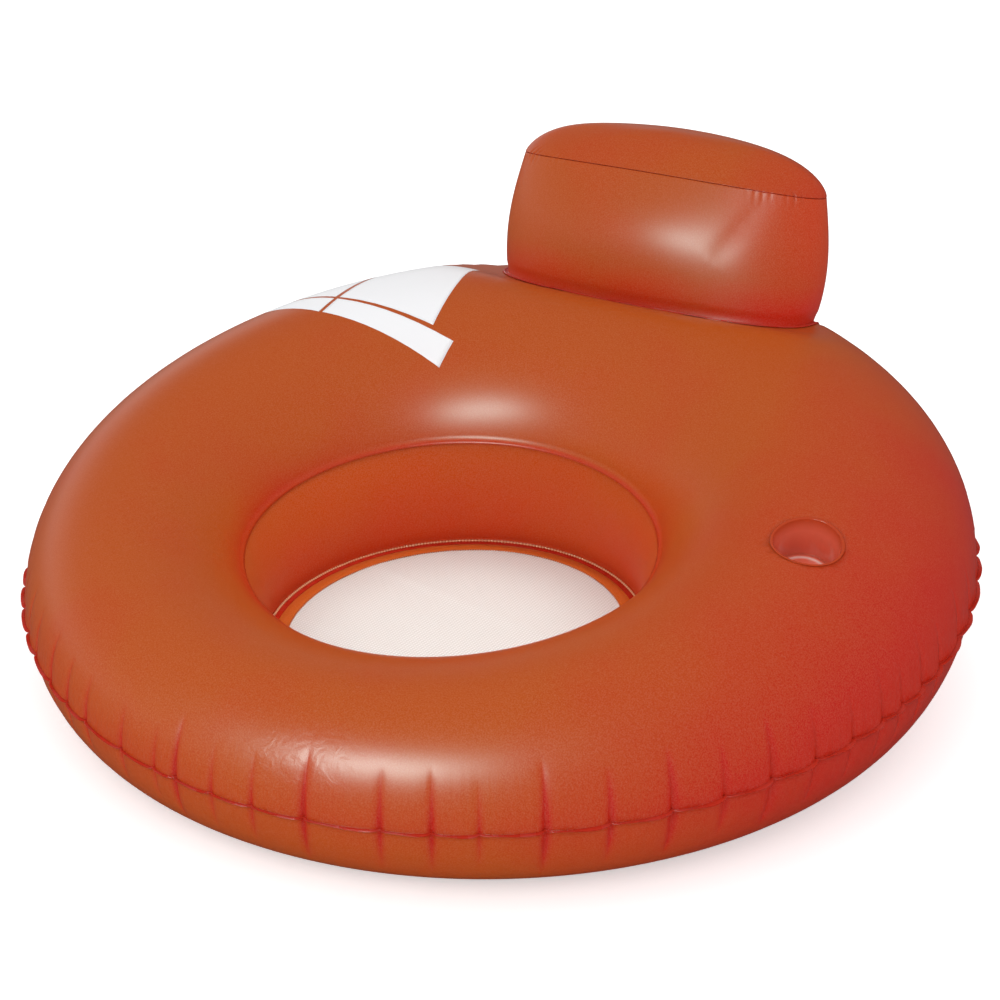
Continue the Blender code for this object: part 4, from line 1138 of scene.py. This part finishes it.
# The two air valves, each a soft moulding welded in a round hole of the film: a flat disc, a thin cone
# that lets the stem be pushed in flush, the stem with its bore, and a plug on a strap round the stem.
VALVE_STEPS = 64
VALVE_HOLE = 0.0110
DISC_UNDER = 0.0004
DISC_TOP = 0.0005
FOOT_RADIUS = 0.0124
FOOT_LOW = 0.0006
CONE_TOP = 0.0064
COLLAR_LOW = 0.0067
COLLAR_TOP = 0.0079
COLLAR_RADIUS = 0.0062
STEM_RADIUS = 0.0045
STEM_TOP = 0.0192
BORE_RADIUS = 0.0030
SOFT_EDGE = 0.0003
PIN_RADIUS = 0.0027
PIN_LENGTH = 0.0065
HEAD_RADIUS = 0.0055
HEAD_THICK = 0.0024
LOOP_IN = 0.0049
LOOP_OUT = 0.0065
LOOP_THICK = 0.0016
STRAP_REACH = 0.0095
STRAP_WIDTH = 0.0036
STRAP_THICK = 0.0010
STRAP_EDGE = 0.00025
STRAP_ROOT = 0.0010
STRAP_BENDS = 16
SWIRLS_PER_M = 180.0
MOULD_RELIEF = 0.0001

DISC_PROFILE = [
    (VALVE_HOLE, -DISC_UNDER), (0.0130, -DISC_UNDER), (0.0130, 0.00006), (0.0149, 0.00006),
    (0.0150, 0.00012), (0.0150, 0.0003), (0.0148, DISC_TOP), (0.0143, DISC_TOP), (0.0141, 0.0003),
    (0.0138, 0.0003), (0.0136, DISC_TOP), (0.0112, DISC_TOP), (VALVE_HOLE, 0.0003),
]
CONE_PROFILE = [
    (FOOT_RADIUS, FOOT_LOW), (FOOT_RADIUS, 0.0010), (0.0121, 0.0013), (0.0112, 0.0015), (0.0104, 0.0021),
    (0.0088, 0.0037), (0.0073, 0.0052), (0.0065, 0.0059), (0.0062, 0.0062), (0.0061, CONE_TOP),
    (0.0048, CONE_TOP), (0.0048, 0.0058), (0.0060, 0.0050), (0.0079, 0.0032), (0.0097, 0.0014),
    (0.0103, 0.0008), (0.0108, FOOT_LOW),
]
STEM_PROFILE = [
    (BORE_RADIUS, COLLAR_LOW), (COLLAR_RADIUS - SOFT_EDGE, COLLAR_LOW),
    (COLLAR_RADIUS, COLLAR_LOW + SOFT_EDGE), (COLLAR_RADIUS, COLLAR_TOP - SOFT_EDGE),
    (COLLAR_RADIUS - SOFT_EDGE, COLLAR_TOP), (STEM_RADIUS + SOFT_EDGE, COLLAR_TOP),
    (STEM_RADIUS, COLLAR_TOP + SOFT_EDGE), (STEM_RADIUS, STEM_TOP - SOFT_EDGE),
    (STEM_RADIUS - SOFT_EDGE, STEM_TOP), (BORE_RADIUS + SOFT_EDGE, STEM_TOP),
    (BORE_RADIUS, STEM_TOP - SOFT_EDGE),
]
HEAD_LOW = STEM_TOP + GAP
HEAD_TOP = HEAD_LOW + HEAD_THICK
LOOP_TOP = COLLAR_TOP + LOOP_THICK
PLUG_PROFILE = [
    (0.0, HEAD_TOP - 0.0006), (0.0016, HEAD_TOP - 0.0006),
    (0.0022, HEAD_TOP - 0.0004), (0.0028, HEAD_TOP),
    (HEAD_RADIUS - 0.0009, HEAD_TOP), (HEAD_RADIUS - 0.0003, HEAD_TOP - 0.0002),
    (HEAD_RADIUS, HEAD_TOP - 0.0007), (HEAD_RADIUS, HEAD_LOW + 0.0006),
    (HEAD_RADIUS - 0.0003, HEAD_LOW + 0.0001), (HEAD_RADIUS - 0.0007, HEAD_LOW), (PIN_RADIUS, HEAD_LOW),
    (PIN_RADIUS, HEAD_LOW - 0.0030), (PIN_RADIUS - 0.0001, HEAD_LOW - 0.0034),
    (PIN_RADIUS, HEAD_LOW - 0.0038), (PIN_RADIUS, HEAD_LOW - PIN_LENGTH + 0.0014),
    (PIN_RADIUS / 2, HEAD_LOW - PIN_LENGTH), (0.0, HEAD_LOW - PIN_LENGTH),
]
LOOP_PROFILE = [
    (LOOP_IN, COLLAR_TOP), (LOOP_OUT - SOFT_EDGE, COLLAR_TOP), (LOOP_OUT, COLLAR_TOP + SOFT_EDGE),
    (LOOP_OUT, LOOP_TOP - SOFT_EDGE), (LOOP_OUT - SOFT_EDGE, LOOP_TOP),
    (LOOP_IN, LOOP_TOP),
]

# Soft vinyl shot into a polished mould. The eye sees it smoother and darker than film, with a faint
# swirl.
moulded_vinyl, moulded_shader = finish_of(
    "moulded_soft_pvc", Roughness=0.24, IOR=1.5, Coat_Weight=0.2, Coat_Roughness=0.2
)
valve_coords = add(moulded_vinyl, "TexCoord").outputs["Object"]
swirl = add(moulded_vinyl, "TexNoise", {"Vector": valve_coords, "Scale": SWIRLS_PER_M, "Detail": 2.0})
valve_hues = {"Factor": swirl, 6: paint("#B03A1C"), 7: paint("#C4502A")}
valve_hue = add(moulded_vinyl, "Mix", valve_hues, data_type="RGBA")
feed(moulded_shader, {"Base Color": valve_hue})
give_relief(moulded_vinyl, moulded_shader, 1000 / GRAIN_MM, MOULD_RELIEF, 0.2)


def turned(profile, closed=True):
    """A solid turned about Z from a profile of radii and heights, which ends on the axis if open."""
    solid = bmesh.new()
    line = [solid.verts.new((r, 0, z)) for r, z in profile]
    pairs = list(zip(line, line[1:]))
    if closed:
        pairs.append((line[-1], line[0]))
    edges = [solid.edges.new(pair) for pair in pairs]
    bmesh.ops.spin(
        solid,
        geom=line + edges,
        axis=(0, 0, 1),
        cent=(0, 0, 0),
        dvec=(0, 0, 0),
        angle=2 * math.pi,
        steps=VALVE_STEPS,
        use_merge=True,
    )
    bmesh.ops.remove_doubles(solid, verts=solid.verts, dist=0.000005)
    bmesh.ops.recalc_face_normals(solid, faces=solid.faces)
    return solid


def strap():
    """The flat bow from the loop round the stem, out and up to the plug's head."""
    low = COLLAR_TOP + LOOP_THICK / 2
    high = HEAD_LOW + HEAD_THICK / 2
    half = (high - low) / 2
    route = [(LOOP_OUT - STRAP_ROOT, low)]
    for k in range(STRAP_BENDS + 1):
        a = math.pi * (k / STRAP_BENDS - 0.5)
        route.append((STRAP_REACH - half / 2 * (1 - math.cos(a)), (low + high) / 2 + half * math.sin(a)))
    route.append((HEAD_RADIUS - STRAP_THICK, high))
    bow = bmesh.new()
    line = [bow.verts.new((x, -STRAP_WIDTH / 2, z)) for x, z in route]
    edges = [bow.edges.new(pair) for pair in zip(line, line[1:])]
    made = bmesh.ops.extrude_edge_only(bow, edges=edges)["geom"]
    moved = [v for v in made if isinstance(v, bmesh.types.BMVert)]
    bmesh.ops.translate(bow, verts=moved, vec=(0, STRAP_WIDTH, 0))
    bmesh.ops.recalc_face_normals(bow, faces=bow.faces)
    bmesh.ops.solidify(bow, geom=bow.faces, thickness=STRAP_THICK)
    bmesh.ops.recalc_face_normals(bow, faces=bow.faces)
    rims = [e for e in bow.edges if len(e.link_faces) == 2 and e.calc_face_angle() > 1.0]
    bmesh.ops.bevel(
        bow, geom=rims, offset=STRAP_EDGE, affect="EDGES", segments=2, profile=0.5, material=-1
    )
    return bow


for valve, place in (("ring", ring_valve_frame), ("backrest", backrest_valve_frame)):
    made = {}
    for part, shape_of, rider in (
        ("disc", turned(DISC_PROFILE), "chair"),
        ("cone", turned(CONE_PROFILE), None),
        ("stem", turned(STEM_PROFILE), valve + "_stem"),
        ("plug", turned(PLUG_PROFILE, closed=False), valve + "_plug"),
        ("loop", turned(LOOP_PROFILE), valve + "_plug"),
        ("strap", strap(), valve + "_plug"),
    ):
        bmesh.ops.transform(shape_of, matrix=place, verts=shape_of.verts)
        made[part] = finished(shape_of, valve + "_air_valve_" + part, rider, moulded_vinyl)
    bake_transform(made["cone"])
    for part in ("disc", "cone", "stem", "plug"):
        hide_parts(valve + "_valve_" + part)
    frame["nodes"][valve + "_valve_flap"].data.materials.clear()
    frame["nodes"][valve + "_valve_flap"].data.materials.append(moulded_vinyl)

# The studio: a white paper floor and white air light the film evenly, and the long lens stands front
# right. A soft lamp low in front and a cool one that only gloss mirrors make the highlights, and a spot
# lights the seat. Gloss mirrors a dim room with a grey floor, apart from some paper at the low left.
FLOOR_SIZE = 60.0
FLOOR_CLEAR = 0.0005
SOFTBOX_WAY = Vector((0.03, -0.90, 0.44)).normalized()
SOFTBOX_AWAY = 2.4
SOFTBOX_SIZE = 1.2
SOFTBOX_POWER = 5.0
GLINT_SIZE = (1.20, 0.50)
GLINT_POWER = 90.0
COOL_DAYLIGHT = (0.74, 1.0, 0.94)
SEAT_LAMP_HEIGHT = 2.2
SEAT_LAMP_CONE = math.radians(13.0)
SEAT_LAMP_POWER = 66.0
SEAT_LAMP_BLEND = 0.5
SEAT_LAMP_RADIUS = 0.1
PAPER_GLOW = 0.46
DIM_ROOM = 0.10
PAPER_WALL = 0.9
WALL_LEFT = (-0.70, -0.25)
WALL_LOW = (0.10, 0.45)
LENS_MM = 74.8
SENSOR_MM = 36.0
LENS_SHIFT = (0.001, 0.0362)
CAMERA_PLACE = Vector((1.0416, -1.8073, 1.1429))
CAMERA_RIGHT = Vector((0.8643, 0.5028, 0.0084))
CAMERA_UP = Vector((-0.2262, 0.3738, 0.8995))
CAMERA_BACK = Vector((0.4492, -0.7794, 0.4368))

paper_sheet = bmesh.new()
bmesh.ops.create_grid(paper_sheet, x_segments=2, y_segments=2, size=FLOOR_SIZE / 2)
floor_mesh = bpy.data.meshes.new("studio_floor")
paper_sheet.to_mesh(floor_mesh)
paper_sheet.free()
studio_floor = in_scene("studio_floor", floor_mesh)
studio_floor.location.z = min(cad_box[0][2], 0.0) - FLOOR_CLEAR

# Matt white paper. It glows for the camera alone, so the eye sees it white to the edge of the picture.
white_paper, paper_shader = finish_of(
    "matt_white_paper", Roughness=1.0, Specular_IOR_Level=0.0, Emission_Color=(1.0, 1.0, 1.0, 1.0)
)
floor_rays = add(white_paper, "LightPath").outputs
papers = {"Factor": floor_rays["Is Glossy Ray"], 6: paint("#F2F2F2"), 7: paint("#5A5A5A")}
paper_hue = add(white_paper, "Mix", papers, data_type="RGBA")
glow = add(white_paper, "Math", (floor_rays["Is Camera Ray"], PAPER_GLOW), operation="MULTIPLY")
feed(paper_shader, {"Base Color": paper_hue, "Emission Strength": glow})
floor_mesh.materials.append(white_paper)

studio_air = bpy.data.worlds.new("studio_air")
studio_air.use_nodes = True
bpy.context.scene.world = studio_air
sky = studio_air.node_tree.nodes["Background"]
rays = add(studio_air, "LightPath").outputs
way = add(studio_air, "TexCoord").outputs["Generated"]
sides = add(studio_air, "SeparateXYZ", (way,)).outputs
left = add(studio_air, "MapRange", (sides["X"], *WALL_LEFT, PAPER_WALL, 0.0))
low = add(studio_air, "MapRange", (sides["Z"], *WALL_LOW, 1.0, 0.0))
paper_wall = add(studio_air, "Math", (left, low), operation="MULTIPLY")
mirrored = add(studio_air, "Math", (paper_wall, DIM_ROOM), operation="ADD")
level = add(studio_air, "Mix", {"Factor": rays["Is Glossy Ray"], "A": 1.0, "B": mirrored})
feed(sky, {"Color": (1.0, 1.0, 1.0, 1.0), "Strength": level})

middle = (Vector(cad_box[0]) + Vector(cad_box[1])) / 2
for name, size, power, hue, lights_all in (
    ("softbox", (SOFTBOX_SIZE, SOFTBOX_SIZE), SOFTBOX_POWER, (1.0, 1.0, 1.0), True),
    ("glint_lamp", GLINT_SIZE, GLINT_POWER, COOL_DAYLIGHT, False),
):
    lamp = bpy.data.lights.new(name, "AREA")
    lamp.shape = "RECTANGLE"
    lamp.size, lamp.size_y = size
    lamp.energy = power
    lamp.color = hue
    stand = in_scene(name, lamp)
    stand.location = middle + SOFTBOX_WAY * SOFTBOX_AWAY
    stand.rotation_euler = SOFTBOX_WAY.to_track_quat("Z", "Y").to_euler()
    stand.visible_diffuse = lights_all

seat_lamp = bpy.data.lights.new("seat_spot", "SPOT")
seat_lamp.energy = SEAT_LAMP_POWER
seat_lamp.spot_size = SEAT_LAMP_CONE
seat_lamp.spot_blend = SEAT_LAMP_BLEND
seat_lamp.shadow_soft_size = SEAT_LAMP_RADIUS
seat_stand = in_scene("seat_spot", seat_lamp)
seat_stand.location = (0.0, HOLE_Y, SEAT_LAMP_HEIGHT)
seat_stand.visible_glossy = False

lens = bpy.data.cameras.new("long_lens")
lens.lens = LENS_MM
lens.sensor_width = SENSOR_MM
lens.shift_x, lens.shift_y = LENS_SHIFT
camera = in_scene("camera", lens)
turn = Matrix((CAMERA_RIGHT, CAMERA_UP, CAMERA_BACK)).transposed().to_4x4()
camera.matrix_world = Matrix.Translation(CAMERA_PLACE) @ turn
bpy.context.scene.camera = camera
bpy.context.scene.view_settings.view_transform = "Standard"
